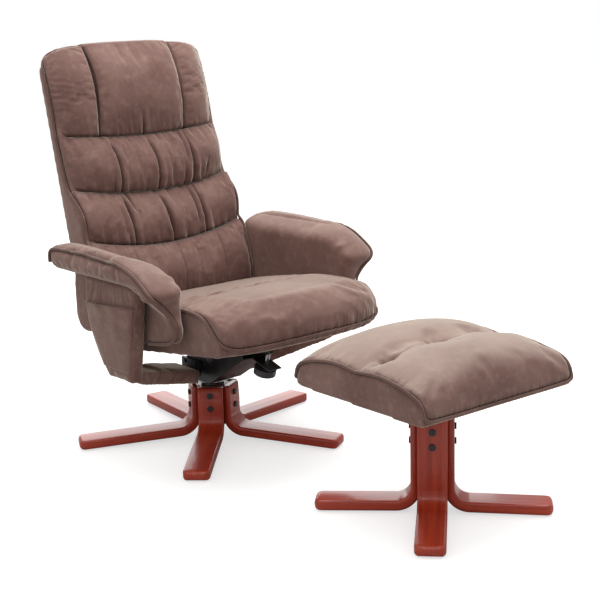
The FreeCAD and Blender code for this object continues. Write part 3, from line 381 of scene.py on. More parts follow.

# %% [markdown]
# The suede takes both masks of painted light: painted shade in its tucks and a painted highlight on its
# upward faces. The cord of the piping is the same cloth in darker colours. The wood is stained cherry red
# under a clear lacquer, which is the shader's coat. The boards inside are bare plywood, with the same grain
# group in pale colours.

# %% Cloth and wood
# Of these colours the darkest is painted shade for the tucks and the beige is a painted highlight for upward faces;
# deep, mid and pale are the cloth's own tone.
SUEDE = {"Deep": srgb(106, 76, 70), "Mid": srgb(124, 94, 86), "Pale": srgb(150, 125, 111),
         "TuckShade": srgb(46, 22, 20), "TopLight": srgb(166, 150, 139)}
CORD = {"Deep": srgb(88, 61, 55), "Mid": srgb(110, 81, 73), "Pale": srgb(130, 103, 93), "TuckShade": srgb(52, 30, 28)}
CLOTH_SHADER = {"Sheen Weight": 0.95, "Sheen Roughness": 0.36, "Sheen Tint": srgb(236, 228, 212),
                "Specular IOR Level": 0.25}
suede = make_finish("suede cover", nap_group, SUEDE, "Object", (0.35, 0.0012), CLOTH_SHADER, ("Seam", "Nap"))
cord_cloth = make_finish("suede cord", nap_group, CORD, "Object", (0.3, 0.0008), CLOTH_SHADER)

CHERRY = {"Dark": srgb(140, 38, 22), "Light": srgb(184, 66, 38), "Pore": srgb(102, 26, 16)}
cherry = make_finish("cherry lacquer", grain_group, CHERRY, "UV", (0.06, 0.0004),
                     {"Coat Weight": 0.38, "Coat Roughness": 0.10, "Specular IOR Level": 0.35})
PLY = {"Dark": srgb(176, 140, 100), "Light": srgb(206, 174, 134), "Pore": srgb(140, 104, 70)}
plywood = make_finish("plywood", grain_group, PLY, "Object", (0.1, 0.0005), {})
print("cloth and wood:", [m.name for m in bpy.data.materials])

# %% [markdown]
# The hard finishes are rows of values for the worn group. The floor is one of them, with a glow that only
# the lens sees, so that it meets the white room without an edge and still takes a soft shadow.

# %% Hard finishes
BLACK = {"Base": srgb(24, 24, 26), "Worn": srgb(40, 40, 42), "Size": 1.0, "Smooth": 0.34, "Rough": 0.52}
black_steel = make_finish("black powder coat", worn_group, BLACK, "Object", (0.12, 0.0004), {})
BARE = {"Base": srgb(168, 170, 174), "Worn": srgb(142, 142, 144), "Size": 1.0, "Smooth": 0.22, "Rough": 0.38}
bare_steel = make_finish("bare steel", worn_group, BARE, "Object", (0.05, 0.0003), {"Metallic": 1.0})
NYLON = {"Base": srgb(34, 33, 33), "Worn": srgb(52, 51, 50), "Size": 1.5, "Smooth": 0.45, "Rough": 0.6}
nylon = make_finish("nylon", worn_group, NYLON, "Object", (0.1, 0.0003), {})
KNOB = {"Base": srgb(44, 44, 47), "Worn": srgb(62, 62, 65), "Size": 2.0, "Smooth": 0.36, "Rough": 0.55}
knob_plastic = make_finish("knob plastic", worn_group, KNOB, "Object", (0.15, 0.0003), {})
RUBBER = {"Base": srgb(30, 29, 29), "Worn": srgb(44, 42, 41), "Size": 1.5, "Smooth": 0.7, "Rough": 0.9}
rubber = make_finish("rubber", worn_group, RUBBER, "Object", (0.2, 0.0004), {})
FLOOR_GLOW = 0.62
PAPER = {"Base": srgb(190, 189, 188), "Worn": srgb(186, 186, 185), "Size": 0.1, "Smooth": 0.8, "Rough": 0.9}
floor_finish = make_finish("studio floor", worn_group, PAPER, "Object", (0.02, 0.0002),
                           {"Emission Color": (1.0, 1.0, 1.0, 1.0), "Specular IOR Level": 0.1})
floor_tree = floor_finish.node_tree
lens_only = floor_tree.nodes.new("ShaderNodeLightPath")
glow = maths(floor_tree, "MULTIPLY", lens_only.outputs["Is Camera Ray"], FLOOR_GLOW)
floor_tree.links.new(glow, floor_tree.nodes["Principled BSDF"].inputs["Emission Strength"])
floor_mesh.materials.append(floor_finish)
print("finishes:", [m.name for m in bpy.data.materials])

# %% [markdown]
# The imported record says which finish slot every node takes, so the rigid nodes are dressed in one loop.
# Their shapes are right as they stand; only the material changes.

# %% Dress the rigid nodes
FINISHES = {"suede_fabric": suede, "cherry_wood": cherry, "plywood": plywood, "black_steel": black_steel,
            "steel": bare_steel, "nylon": nylon, "knob_plastic": knob_plastic, "rubber": rubber}


def dress(piece, finish):
    """Gives a piece one material."""
    piece.data.materials.clear()
    piece.data.materials.append(finish)


for part in frame["record"]["subparts"]:
    dress(nodes[part["node"]], FINISHES[part["material_slot"]])

# %% [markdown]
# New pieces start as arrays of points. This helper turns a grid of points into a mesh: rows along a
# path, columns round a profile. Columns can close on themselves, and each end can be shut with one face.
# The grid's own measures go into a UV map so that a finish can follow the piece.

# %% Grid to mesh


def smooth(piece):
    """Shades all faces of a piece smoothly."""
    piece.data.polygons.foreach_set("use_smooth", np.ones(len(piece.data.polygons), bool))


def make_piece(name, points, faces, finish, uv=None):
    """Object at the origin from points and faces; uv holds one pair per point."""
    mesh = bpy.data.meshes.new(name)
    mesh.from_pydata(points.tolist(), [], faces)
    if uv is not None:
        corners = np.zeros(len(mesh.loops), np.int32)
        mesh.loops.foreach_get("vertex_index", corners)
        mesh.uv_layers.new(name="UVMap").data.foreach_set("uv", uv[corners].astype(np.float32).ravel())
    mesh.materials.append(finish)
    piece = bpy.data.objects.new(name, mesh)
    scene.collection.objects.link(piece)
    smooth(piece)
    return piece


def grid_faces(rows, columns, closed, caps=True):
    """Quads between neighbouring rows, round the columns if closed, with a face over each end."""
    i, j = np.meshgrid(np.arange(rows - 1), np.arange(columns if closed else columns - 1), indexing="ij")
    k = (j + 1) % columns
    quads = np.stack([i * columns + j, i * columns + k, (i + 1) * columns + k, (i + 1) * columns + j], -1)
    faces = quads.reshape(-1, 4).tolist()
    if closed and caps:
        faces.append(list(range(columns))[::-1])
        faces.append([(rows - 1) * columns + c for c in range(columns)])
    return faces


def outward(piece, weld=False):
    """Turns a closed piece's faces outwards, after merging points that lie on one another if asked."""
    work = bmesh.new()
    work.from_mesh(piece.data)
    if weld:
        bmesh.ops.remove_doubles(work, verts=work.verts, dist=1e-6)
    bmesh.ops.recalc_face_normals(work, faces=work.faces)
    work.to_mesh(piece.data)
    work.free()


print("faces of a 3 by 4 tube:", len(grid_faces(3, 4, True)))

# %% [markdown]
# A leg is a strip of laminated wood, bent once: upright against the hub, then out along the floor. It is
# a rounded profile carried along a path of line, arc and line. Beside the hub the legs stand shoulder to
# shoulder, so each one narrows to its own sector there, and towards its tip the strip rounds off, seen
# from above and from the side.

# %% Leg surface
LEG_WIDTH, LEG_THICK, LEG_BEND, LEG_FLOOR_GAP = 0.066, 0.024, 0.046, 0.002
LEG_EASE, LEG_TIP_ROUND, LEG_GAP, LEG_END_ROUND = 0.0060, 0.018, 0.0004, 0.0100
GRAIN_SHIFT, GRAIN_CYCLE = 0.37, 97


def rounded_profile(width, thick, ease, per_corner=6):
    """Rectangle with quarter-circle corners: points (across, through) in order, counter-clockwise."""
    angles = np.linspace(0, np.pi / 2, per_corner)
    rings = []
    for k, (sx, sy) in enumerate(((1, 1), (-1, 1), (-1, -1), (1, -1))):
        turn = angles + k * np.pi / 2
        centre = np.array([sx * (width / 2 - ease), sy * (thick / 2 - ease)])
        rings.append(centre + ease * np.stack([np.cos(turn), np.sin(turn)], -1))
    return np.concatenate(rings)


def run_length(line):
    """Length from the first point of a line to each of its points."""
    return np.concatenate([[0], np.cumsum(np.linalg.norm(np.diff(line, axis=0), axis=1))])


def set_back(distance, radius):
    """How far a rounded edge lies behind its corner, at a distance from the end: r - sqrt(r2 - (r - d)2)."""
    inner = 1 - np.clip(distance / radius, 0, 1)
    return radius * (1 - np.sqrt(np.clip(1 - inner ** 2, 0, 1)))


def leg_path(inside, top, tip, rise):
    """Points and directions along the leg: down the hub, round the bend, out to the tip."""
    low = LEG_FLOOR_GAP + LEG_THICK / 2
    start, corner, end = np.array([inside, top]), np.array([inside, low + rise]), np.array([tip, low])
    out = (end - corner) / np.linalg.norm(end - corner)
    turn = math.acos(float(np.dot((0, -1), out)))
    reach = LEG_BEND * math.tan(turn / 2)
    first = start + np.outer((0, 0.004, 0.02, 0.5, 1), (0, -1)) * (top - low - rise - reach)
    angle = np.linspace(0, turn, 26)[1:-1]
    centre = corner + np.array([LEG_BEND, reach])
    bend = centre + LEG_BEND * np.stack([-np.cos(angle), -np.sin(angle)], -1)
    run = np.linalg.norm(end - corner) - reach
    steps = np.concatenate([np.linspace(0, 1 - LEG_TIP_ROUND / run, 8),
                            1 - LEG_TIP_ROUND / run * (1 - np.sin(np.linspace(0, np.pi / 2, 10)[1:]))])
    last = corner + out * reach + np.outer(steps, out) * run
    line = np.concatenate([first, bend, last])
    aim = np.concatenate([np.tile((0.0, -1.0), (len(first), 1)),
                          np.stack([np.sin(angle), -np.cos(angle)], -1), np.tile(out, (len(last), 1))])
    return line, aim


def make_leg(name, sides, apothem, tip, top, rise, heading, foot):
    """Leg along its own +X, narrowed to tan(pi / sides) times the distance from the hub's axis, then turned."""
    line, aim = leg_path(apothem + LEG_THICK / 2, top, tip, rise)
    profile = rounded_profile(LEG_WIDTH, LEG_THICK, LEG_EASE)
    length = run_length(line)
    left = length[-1] - length
    slim = 1 - set_back(length, LEG_EASE) / (LEG_THICK / 2)
    slim *= 1 - set_back(left, LEG_END_ROUND) / (LEG_THICK / 2)
    narrow = 1 - set_back(left, LEG_TIP_ROUND) / (LEG_WIDTH / 2)
    through = profile[None, :, 1] * slim[:, None]
    across = profile[None, :, 0] * narrow[:, None]
    normal = np.stack([-aim[:, 1], aim[:, 0]], -1)
    place = line[:, None, :] + normal[:, None, :] * through[:, :, None]
    sector = (place[:, :, 0] * math.tan(math.pi / sides) - LEG_GAP) / (LEG_WIDTH / 2)
    across = across * np.minimum(1, sector)
    a = math.radians(heading)
    x = place[:, :, 0] * math.cos(a) - across * math.sin(a) + foot[0]
    y = place[:, :, 0] * math.sin(a) + across * math.cos(a) + foot[1]
    points = np.stack([x, y, place[:, :, 1]], -1).reshape(-1, 3)
    around = run_length(profile)
    shift = GRAIN_SHIFT * (heading % GRAIN_CYCLE)
    uv = np.stack(np.broadcast_arrays(length[:, None] + shift, around[None, :]), -1).reshape(-1, 2)
    leg = make_piece(name, points, grid_faces(len(line), len(profile), True), cherry, uv)
    outward(leg)
    return leg


print("points round a leg:", len(rounded_profile(LEG_WIDTH, LEG_THICK, LEG_EASE)))

# %% [markdown]
# The chair has five such legs round a five-sided hub, and the footstool four round a square core. One row
# holds what differs: how far the hub's faces and the tips are from the axis, how high the legs reach, how
# much the foot rises inwards, the heading of the first leg, and where the star stands on the floor.

# %% Legs of the chair and of the footstool
STOOL_FOOT, STOOL_TURN = (0.040, -0.755), -2.42
STARS = (("chair", "base", 5, 0.038, 0.355, 0.141, 0.010, -133.93, (0.0, 0.0)),
         ("footstool", "stool", 4, 0.024, 0.262, 0.284, 0.004, 45 + STOOL_TURN, STOOL_FOOT))
for owner, body, count, apothem, tip, top, rise, heading, foot in STARS:
    for k in range(count):
        turned = heading + 360 / count * k
        leg = make_leg("%s_leg_%d" % (owner, k + 1), count, apothem, tip, top, rise, turned, foot)
        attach(leg, body)
        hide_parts("%s_leg_%d" % (body, k + 1))
print("leg points:", len(leg.data.vertices))

# %% [markdown]
# Every stuffed piece starts from its CAD solid, because that has the right size and place. The copy is
# welded, remeshed into even small quads that cloth can bend, and softened a little at its corners. Points
# are handled as whole arrays, in the seat's, the back's or the footstool's own upright frame.

# %% Cloth helpers
SEAT_FRAME = ((0.0, -0.060, 0.283), "X", -7.6)
BACK_FRAME = ((0.0, 0.228, 0.330), "X", -12.5)
STOOL_FRAME = (STOOL_FOOT + (0.0,), "Z", STOOL_TURN)
ROOM_FRAME = ((0.0, 0.0, 0.0), "Z", 0.0)
CLOTH_FRAMES = 20


def frame_turn(place):
    """Rotation matrix of a frame as an array."""
    return np.array(Matrix.Rotation(math.radians(place[2]), 3, place[1]))


def into(points, place):
    """Points of the room in a frame's own coordinates."""
    return (points - np.array(place[0])) @ frame_turn(place)


def out_of(points, place):
    """Points of a frame back in the room."""
    return points @ frame_turn(place).T + np.array(place[0])


def get_points(mesh):
    """All points of a mesh as an array."""
    flat = np.zeros(len(mesh.vertices) * 3, np.float32)
    mesh.vertices.foreach_get("co", flat)
    return flat.reshape(-1, 3).astype(float)


def set_points(mesh, points):
    """Writes an array of points back to a mesh."""
    mesh.vertices.foreach_set("co", points.astype(np.float32).ravel())
    mesh.update()


def bake(piece):
    """Replaces a piece's mesh by what its modifiers make of it."""
    depsgraph = bpy.context.evaluated_depsgraph_get()
    made = bpy.data.meshes.new_from_object(piece.evaluated_get(depsgraph))
    piece.modifiers.clear()
    old, piece.data = piece.data, made
    bpy.data.meshes.remove(old)
    return piece


def soft_copy(name, parts, voxel, rounds, fillers=()):
    """Welded copy of CAD solids and of hulls round filler points, remeshed as one skin of even quads, relaxed."""
    mesh = bpy.data.meshes.new(name)
    work = bmesh.new()
    for part in parts:
        work.from_mesh(nodes[part].data)
    bmesh.ops.remove_doubles(work, verts=work.verts, dist=1e-5)
    for corners in fillers:
        bmesh.ops.convex_hull(work, input=[work.verts.new(corner) for corner in corners])
    work.to_mesh(mesh)
    work.free()
    piece = bpy.data.objects.new(name, mesh)
    scene.collection.objects.link(piece)
    grid = piece.modifiers.new("grid", "REMESH")
    grid.mode = "VOXEL"
    grid.voxel_size = voxel
    relax = piece.modifiers.new("relax", "SMOOTH")
    relax.factor = 0.5
    relax.iterations = rounds
    return bake(piece)


def stuff(piece, sewn, pressure, slack):
    """Cloth with air inside: sewn points hold still, and slack lets the cover grow and wrinkle."""
    group = piece.vertex_groups.new(name="sewn")
    group.add(np.flatnonzero(sewn).tolist(), 1.0, "REPLACE")
    cloth = piece.modifiers.new("cloth", "CLOTH")
    settings = cloth.settings
    settings.quality = 4
    settings.use_pressure = True
    settings.uniform_pressure_force = pressure
    settings.shrink_min = -slack
    settings.vertex_group_mass = "sewn"
    settings.effector_weights.gravity = 0.0
    cloth.collision_settings.use_collision = False
    cloth.point_cache.frame_start = 1
    cloth.point_cache.frame_end = CLOTH_FRAMES


print("cloth frames:", CLOTH_FRAMES)

# %% [markdown]
# Each stuffed piece has its own row: the solids it stands for, the body and the frame it belongs to, the
# mesh size, where its cover is sewn down, how hard it is filled, how much spare cloth it has, and the
# furthest any point may swell. Sewn places are tests on the piece's own coordinates.

# %% Where the covers are sewn
LUMBAR_SEAM, ROLL_SEAM, HEAD_SEAM = (0.181, 0.036), (0.314, 0.026), (0.455, 0.018)
BACK_LOW, BACK_TOP, BACK_HALF, SHELL_FRONT = (0.007, 0.0), (0.690, 0.0), 0.245, -0.032
HEAD_HALF, HEAD_PAD_SIDE, WING_INNER, ROLL_SIDE, SEAM_STRIP = 0.131, 0.126, 0.136, 0.240, 0.006
SEAT_UNDER, SEAT_REAR, SEAT_SIDE = 0.012, 0.188, 0.238
STOOL_UNDER, STOOL_SIDE, TUFT_HOLD = 0.302, 0.211, 0.008
BOARD_UNDER, BOARD_INNER, ARM_LOW, SOCK_HOLD = 0.480, 0.286, 0.312, 0.446
COVER_FRONT, COVER_SIDE = -0.016, 0.238
TUFTS, TUFT_ROW = np.array([-0.150, -0.012, 0.127]), -0.026


def seam_height(seam, x):
    """Height of a back seam across the chair: highest at the sides, lower by its sag in the middle."""
    return seam[0] - seam[1] * (1 - (x / BACK_HALF) ** 2)


def roll_sewn(low, high, inner=None, outer=ROLL_SIDE):
    """A back cushion is sewn along both seams, at its sides and on the shell behind it."""
    def test(p):
        bottom, top = seam_height(low, p[:, 0]) + SEAM_STRIP, seam_height(high, p[:, 0]) - SEAM_STRIP
        sides = np.abs(p[:, 0]) > outer
        if inner:
            sides |= np.abs(p[:, 0]) < inner
        return (p[:, 2] < bottom) | (p[:, 2] > top) | sides | (p[:, 1] > SHELL_FRONT)
    return test


def seat_sewn(p):
    """The seat is sewn under its edge, at its rear and down both side panels."""
    return (p[:, 2] < SEAT_UNDER) | (p[:, 1] > SEAT_REAR) | (np.abs(p[:, 0]) > SEAT_SIDE)


def tuft_distance(p):
    """Distance of each footstool point from the nearest of its three tufts, seen from above."""
    return np.sqrt(((p[:, None, 0] - TUFTS) ** 2).min(1) + (p[:, 1] - TUFT_ROW) ** 2)


def stool_sewn(p):
    """The footstool is sewn round its lower edge, down both end panels and at its tufts."""
    return (p[:, 2] < STOOL_UNDER) | (np.abs(p[:, 0]) > STOOL_SIDE) | (tuft_distance(p) < TUFT_HOLD)


def arm_sewn(p):
    """An arm is held on its board's underside and along its lower edge."""
    return ((p[:, 2] < BOARD_UNDER) & (np.abs(p[:, 0]) > BOARD_INNER)) | (p[:, 2] < ARM_LOW)


def sock_sewn(p):
    """A sock is held at its top, under the arm."""
    return p[:, 2] > SOCK_HOLD


def cover_sewn(p):
    """The rear cover is held along its front edge and its sides."""
    return (p[:, 1] < COVER_FRONT) | (np.abs(p[:, 0]) > COVER_SIDE)


print("head seam is", seam_height(HEAD_SEAM, 0.0), "m up the back in the middle")

# %% [markdown]
# Some covers span more than one solid. Filler blocks close the hollows between them before the remesh, so
# that an arm or the back comes out as one skin and thin walls don't break up.

# %% Stuffed pieces
STUFFED = []
FILLERS = {}


def stuffed(name, parts, body, place, voxel, sewn, pressure, slack, cap):
    """Notes one stuffed piece."""
    STUFFED.append((name, parts, body, place, voxel, sewn, pressure, slack, cap))


def ring(y, corners, sign):
    """Corners (x, z) of a section across one arm, at a place y along it."""
    return [(sign * x, y, z) for x, z in corners]


for side, sign in (("left", 1), ("right", -1)):
    rail = [(0.2526, 0.460), (0.2526, 0.502), (0.289, 0.502), (0.289, 0.460)]
    curl = [(0.2535, 0.368), (0.2535, 0.460), (0.334, 0.462), (0.347, 0.454)]
    root = [(0.2535, 0.410), (0.2535, 0.490), (0.330, 0.486), (0.330, 0.478)]
    FILLERS["arm_" + side] = [ring(-0.225, rail, sign) + ring(0.1775, rail, sign),
                              ring(-0.249, curl, sign) + ring(-0.120, root, sign)]


stuffed("seat_pad", ["seat_cushion"], "seat_shell", SEAT_FRAME, 0.0062, seat_sewn, 3.0, 0.015, 0.006)
stuffed("lumbar_pad", ["back_lumbar"], "seat_shell", BACK_FRAME, 0.0050,
        roll_sewn(BACK_LOW, LUMBAR_SEAM), 3.0, 0.02, 0.008)
stuffed("lower_roll", ["back_lower_roll"], "seat_shell", BACK_FRAME, 0.0045,
        roll_sewn(LUMBAR_SEAM, ROLL_SEAM), 4.0, 0.028, 0.022)
stuffed("upper_roll", ["back_upper_roll"], "seat_shell", BACK_FRAME, 0.0045,
        roll_sewn(ROLL_SEAM, HEAD_SEAM), 4.0, 0.028, 0.022)
stuffed("head_pad", ["back_head_panel"], "seat_shell", BACK_FRAME, 0.0050,
        roll_sewn(HEAD_SEAM, BACK_TOP, outer=HEAD_PAD_SIDE), 3.0, 0.02, 0.010)
for side in ("left", "right"):
    stuffed("head_wing_" + side, ["back_head_wing_" + side], "seat_shell", BACK_FRAME, 0.0050,
            roll_sewn(HEAD_SEAM, BACK_TOP, inner=WING_INNER), 3.0, 0.02, 0.008)
    stuffed("arm_" + side, ["arm_pad_" + side, "arm_board_" + side, "arm_core_" + side], "arm_frame",
            ROOM_FRAME, 0.0052, arm_sewn, 2.5, 0.012, 0.008)
    stuffed("arm_sock_" + side, ["arm_sleeve_" + side], "arm_frame", ROOM_FRAME, 0.0050,
            sock_sewn, 1.5, 0.03, 0.004)
stuffed("back_cover", ["back_shell"], "seat_shell", BACK_FRAME, 0.0064, cover_sewn, 1.5, 0.01, 0.006)
stuffed("footstool_pad", ["stool_cushion"], "stool", STOOL_FRAME, 0.0055, stool_sewn, 3.0, 0.015, 0.012)
print("stuffed pieces to make:", len(STUFFED))

# %% [markdown]
# The sides of the back are closed by gussets that follow the cushions' fronts. Each is a stack of blocks
# between two levels, and a block is the hull of its two sections. A flat core fills the place of the back
# board, because the cover behind it is thinner than a few voxels and would come out in stripes.

# %% Soft copies
GUSSET = ((0.060, -0.062), (0.130, -0.092), (0.170, -0.088), (0.190, -0.088), (0.225, -0.090), (0.300, -0.058),
          (0.325, -0.056), (0.380, -0.047), (0.455, -0.048), (0.480, -0.044), (0.640, -0.036))
GUSSET_SIDES, GUSSET_ROOT = (0.214, 0.2465), SHELL_FRONT + 0.012


def gusset(sign):
    """Side gusset of the back: blocks between levels (height, front), each the hull of its two sections."""
    rows = [[(sign * x, y, z) for x in GUSSET_SIDES for y in (GUSSET_ROOT, front)] for z, front in GUSSET]
    return [out_of(np.array(low + high), BACK_FRAME).tolist() for low, high in zip(rows, rows[1:])]


CORE_SIDES, CORE_FACES, CORE_LEVELS = (-0.2235, 0.2235), (-0.022, -0.002), (0.024, 0.592)
core = [(x, y, z) for x in CORE_SIDES for y in CORE_FACES for z in CORE_LEVELS]
FILLERS["back_cover"] = gusset(1) + gusset(-1) + [out_of(np.array(core), BACK_FRAME).tolist()]
pads, starts = {}, {}
for name, parts, body, place, voxel, sewn, pressure, slack, cap in STUFFED:
    pad = soft_copy(name, parts, voxel, 2, FILLERS.get(name, ()))
    starts[name] = get_points(pad.data)
    stuff(pad, sewn(into(starts[name], place)), pressure, slack)
    pads[name] = pad
    print(name, len(pad.data.vertices), "points")

# %% [markdown]
# The covers are filled in one short cloth run. How far a point may move is held to each piece's limit, so
# that the cushions keep their size, and one level of subdivision gives the smooth surface.

# %% Fill them all together
for moment in range(1, CLOTH_FRAMES + 1):
    scene.frame_set(moment)
for name, parts, body, place, voxel, sewn, pressure, slack, cap in STUFFED:
    pad = bake(pads[name])
    move = get_points(pad.data) - starts[name]
    length = np.linalg.norm(move, axis=1, keepdims=True)
    set_points(pad.data, starts[name] + move * np.minimum(1, cap / np.maximum(length, 1e-9)))
    finer = pad.modifiers.new("finer", "SUBSURF")
    finer.levels = finer.render_levels = 1
    bake(pad)
    smooth(pad)
    pad.vertex_groups.clear()
    dress(pad, suede)
    print(name, "swelled up to", round(float(length.max()) * 1000, 1), "mm, kept to", cap * 1000)
scene.frame_set(1)

# %% [markdown]
# Sewing shows as small forms on the filled covers: pleats, gathers beside the seams, tufts. They are
# worked on the filled meshes as moves of whole point arrays, each from a short formula, and a mask of
# painted shade goes with them, so that the finish can darken the cloth where it tucks in.

# %% Sewing helpers
dice = np.random.default_rng(11)


def bell(distance, width):
    """Smooth bump: one at zero distance, falling off over the width."""
    return np.exp(-(distance / width) ** 2)


def ripple(along, wavelength, count=7):
    """Uneven waves between about -1 and 1: sines of near wavelengths with random starts, added up."""
    rates = 2 * np.pi / (wavelength * dice.uniform(0.6, 1.7, count))
    starts_at = dice.uniform(0, 2 * np.pi, count)
    return np.sin(along[:, None] * rates + starts_at).sum(1) / math.sqrt(count)


def set_mask(pad, key, mask):
    """Stores a mask between nought and one as an attribute of the mesh."""
    layer = pad.data.attributes.get(key) or pad.data.attributes.new(key, "FLOAT", "POINT")
    layer.data.foreach_set("value", np.clip(mask, 0, 1).astype(np.float32))


def step(value, low, high):
    """Smooth step: nought below low, one above high, level at both ends."""
    t = np.clip((value - low) / (high - low), 0, 1)
    return t * t * (3 - 2 * t)


def point_normals(mesh):
    """Normals of all points as an array."""
    flat = np.zeros(len(mesh.vertices) * 3, np.float32)
    mesh.vertex_normals.foreach_get("vector", flat)
    return flat.reshape(-1, 3).astype(float)


def relax_where(pad, weight, rounds):
    """Smooths a piece only where the weight is high."""
    group = pad.vertex_groups.new(name="soften")
    for level in (0.25, 0.5, 0.75, 1.0):
        group.add(np.flatnonzero(np.abs(weight - level) <= 0.125).tolist(), level, "REPLACE")
    soften = pad.modifiers.new("soften", "SMOOTH")
    soften.vertex_group = "soften"
    soften.factor = 0.5
    soften.iterations = rounds
    bake(pad)
    pad.vertex_groups.clear()


print("ripple check:", ripple(np.zeros(1), 0.02).round(2))

# %% [markdown]
# The two rolls have deep pleats where the cover is tacked down, and many small gathers along their seams.
# Each pleat is a narrow bell across a line that leans a little, with a soft swell on either side.

# %% Rolls of the back
PLEATS = {
    "upper_roll": [
        (-0.112, 0.010, -0.2, 0.95, 1.0), (0.004, 0.008, -0.2, 1.0, 1.0), (0.120, 0.006, -0.2, 1.1, 1.0),
        (0.102, 0.004, 0.35, 1.1, 0.5), (-0.138, 0.014, -0.2, 0.30, 0.8), (-0.152, 0.020, -0.2, 0.25, 0.6),
        (0.092, 0.004, -0.2, 0.45, 0.6), (0.178, -0.014, -0.1, 0.45, 0.6)],
    "lower_roll": [
        (-0.104, 0.010, -0.2, 1.0, 1.0), (-0.084, 0.012, 0.55, 1.1, 0.8), (0.012, 0.010, -0.2, 0.95, 1.0),
        (0.104, 0.006, 0.15, 1.1, 0.7), (0.124, 0.008, -0.2, 1.1, 1.0), (-0.120, 0.006, -0.2, 0.30, 0.5)]}
# Painted shade in the fold of each pleat: its strength and the width of its line.
PLEAT_SHADE, PLEAT_LINE = 0.85, 0.0028
GATHERS = ((0.0024, 0.030, 0.25, 0.030), (0.0007, 0.014, -0.2, 0.016))
# Painted shade in the tuck of a seam: its strength and how fast it fades.
SEAM_SHADE, SEAM_WIDTH = 0.9, 0.0045
ROLL_PLEAT = (0.0085, 0.0042, ((0.0035, 0.012, 0.009), (0.003, -0.013, 0.010)))


def pleat_form(off, deep, wide, swells):
    """Section across a pleat: a narrow bell inwards, less a bell (size, place, width) for each swell beside it."""
    return deep * bell(off, wide) - sum(size * bell(off - x, width) for size, x, width in swells)


def seam_shade_mask(from_seam):
    """Painted shade along a seam: darkest on it, dying away as exp(-distance / width)."""
    return SEAM_SHADE * np.exp(-np.clip(from_seam, 0, 1) / SEAM_WIDTH)


def sew_roll(name, low, high, pleats):
    """Pleats and gathers of one roll.

    A pleat (x, lean, from, to, share) pulls the front in along a near-upright line between two levels, as a
    bell across it. Gathers (depth, wavelength, slant, reach) ripple the front beside both seams and die away
    with the distance from them.
    """
    pad = pads[name]
    p = into(get_points(pad.data), BACK_FRAME)
    bottom, top = seam_height(low, p[:, 0]), seam_height(high, p[:, 0])
    level = np.clip((p[:, 2] - bottom) / (top - bottom), 0, 1)
    front = np.clip((SHELL_FRONT - 0.006 - p[:, 1]) / 0.02, 0, 1)
    inward = np.zeros(len(p))
    mask = np.zeros(len(p))
    for x, lean, start, stop, share in pleats:
        off = p[:, 0] - (x + lean * (0.5 - level) * 2)
        reach = share * step(level, start, start + 0.2) * step(-level, -stop, 0.25 - stop)
        inward += reach * pleat_form(off, *ROLL_PLEAT)
        # Painted shade along the fold of the pleat.
        mask = np.maximum(mask, PLEAT_SHADE * reach * bell(off, PLEAT_LINE))
    from_seam = np.minimum(p[:, 2] - bottom, top - p[:, 2])
    for depth, wavelength, slant, reach in GATHERS:
        waves = ripple(p[:, 0] + slant * (p[:, 2] - bottom), wavelength)
        inward += depth * waves * np.exp(-from_seam / reach)
    p[:, 1] += inward * front
    mask = np.maximum(mask * front, seam_shade_mask(from_seam))
    set_points(pad.data, out_of(p, BACK_FRAME))
    set_mask(pad, "seam", mask)
    return float(inward.max())


for name, low, high in (("lower_roll", LUMBAR_SEAM, ROLL_SEAM), ("upper_roll", ROLL_SEAM, HEAD_SEAM)):
    print(name, "deepest pleat", round(sew_roll(name, low, high, PLEATS[name]) * 1000, 1), "mm")

# %% [markdown]
# The head panel, its wings and the lumbar pad are flatter. They only need their seams: the cloth dips
# beside each seam, gathers a little along it, and takes painted shade in the tuck.

# %% Head and lumbar seams
LUMBAR_STITCHES = (-0.117, 0.020, 0.157)
HEAD_PLEAT = (-0.004, 0.066)
HEAD_FOLD = (0.0062, 0.0040, ((0.0030, 0.011, 0.008), (0.0024, -0.012, 0.009)))
HEAD_LINE, PUCKER_HEIGHT, NO_SEAM = 0.0026, 0.565, 9.0


def sew_flat(name, low, high, uprights, depth, gathers, pleat=None):
    """Dips the front towards the shell beside level seams and upright stitch lines, as sums of bells."""
    pad = pads[name]
    p = into(get_points(pad.data), BACK_FRAME)
    bottom, top = seam_height(low, p[:, 0]), seam_height(high, p[:, 0])
    front = np.clip((SHELL_FRONT - 0.004 - p[:, 1]) / 0.015, 0, 1)
    ceiling = NO_SEAM if high is BACK_TOP else top
    from_seam = np.clip(np.minimum(p[:, 2] - bottom, ceiling - p[:, 2]), 0, 1)
    mask = seam_shade_mask(from_seam)
    inward = gathers * ripple(p[:, 0] + 0.2 * p[:, 2], 0.022) * np.exp(-from_seam / 0.028)
    side = np.clip(BACK_HALF - np.abs(p[:, 0]), 0, 1)
    if high is BACK_TOP:
        by_piping = np.exp(-side / 0.026) * bell(p[:, 2] - PUCKER_HEIGHT, 0.050)
        inward += 0.0020 * ripple(p[:, 2] + 0.35 * side, 0.017) * by_piping
    for x in uprights:
        wander = p[:, 0] - x - 0.0025 * np.sin(p[:, 2] * 26.0 + 9.0 * x)
        inward += depth * bell(wander, 0.006)
        # Painted shade along each upright stitch line.
        mask = np.maximum(mask, min(1.0, 260 * depth) * bell(wander, 0.0024))
    if pleat:
        rise = p[:, 2] - bottom
        reach = np.clip(1.4 * (1 - rise / pleat[1]), 0, 1)
        off = p[:, 0] - pleat[0] + 0.10 * rise
        inward += reach * pleat_form(off, *HEAD_FOLD)
        # Painted shade along the fold of the head pleat.
        mask = np.maximum(mask, PLEAT_SHADE * reach * bell(off, HEAD_LINE))
    p[:, 1] += inward * front
    set_points(pad.data, out_of(p, BACK_FRAME))
    set_mask(pad, "seam", mask)
    return len(p)


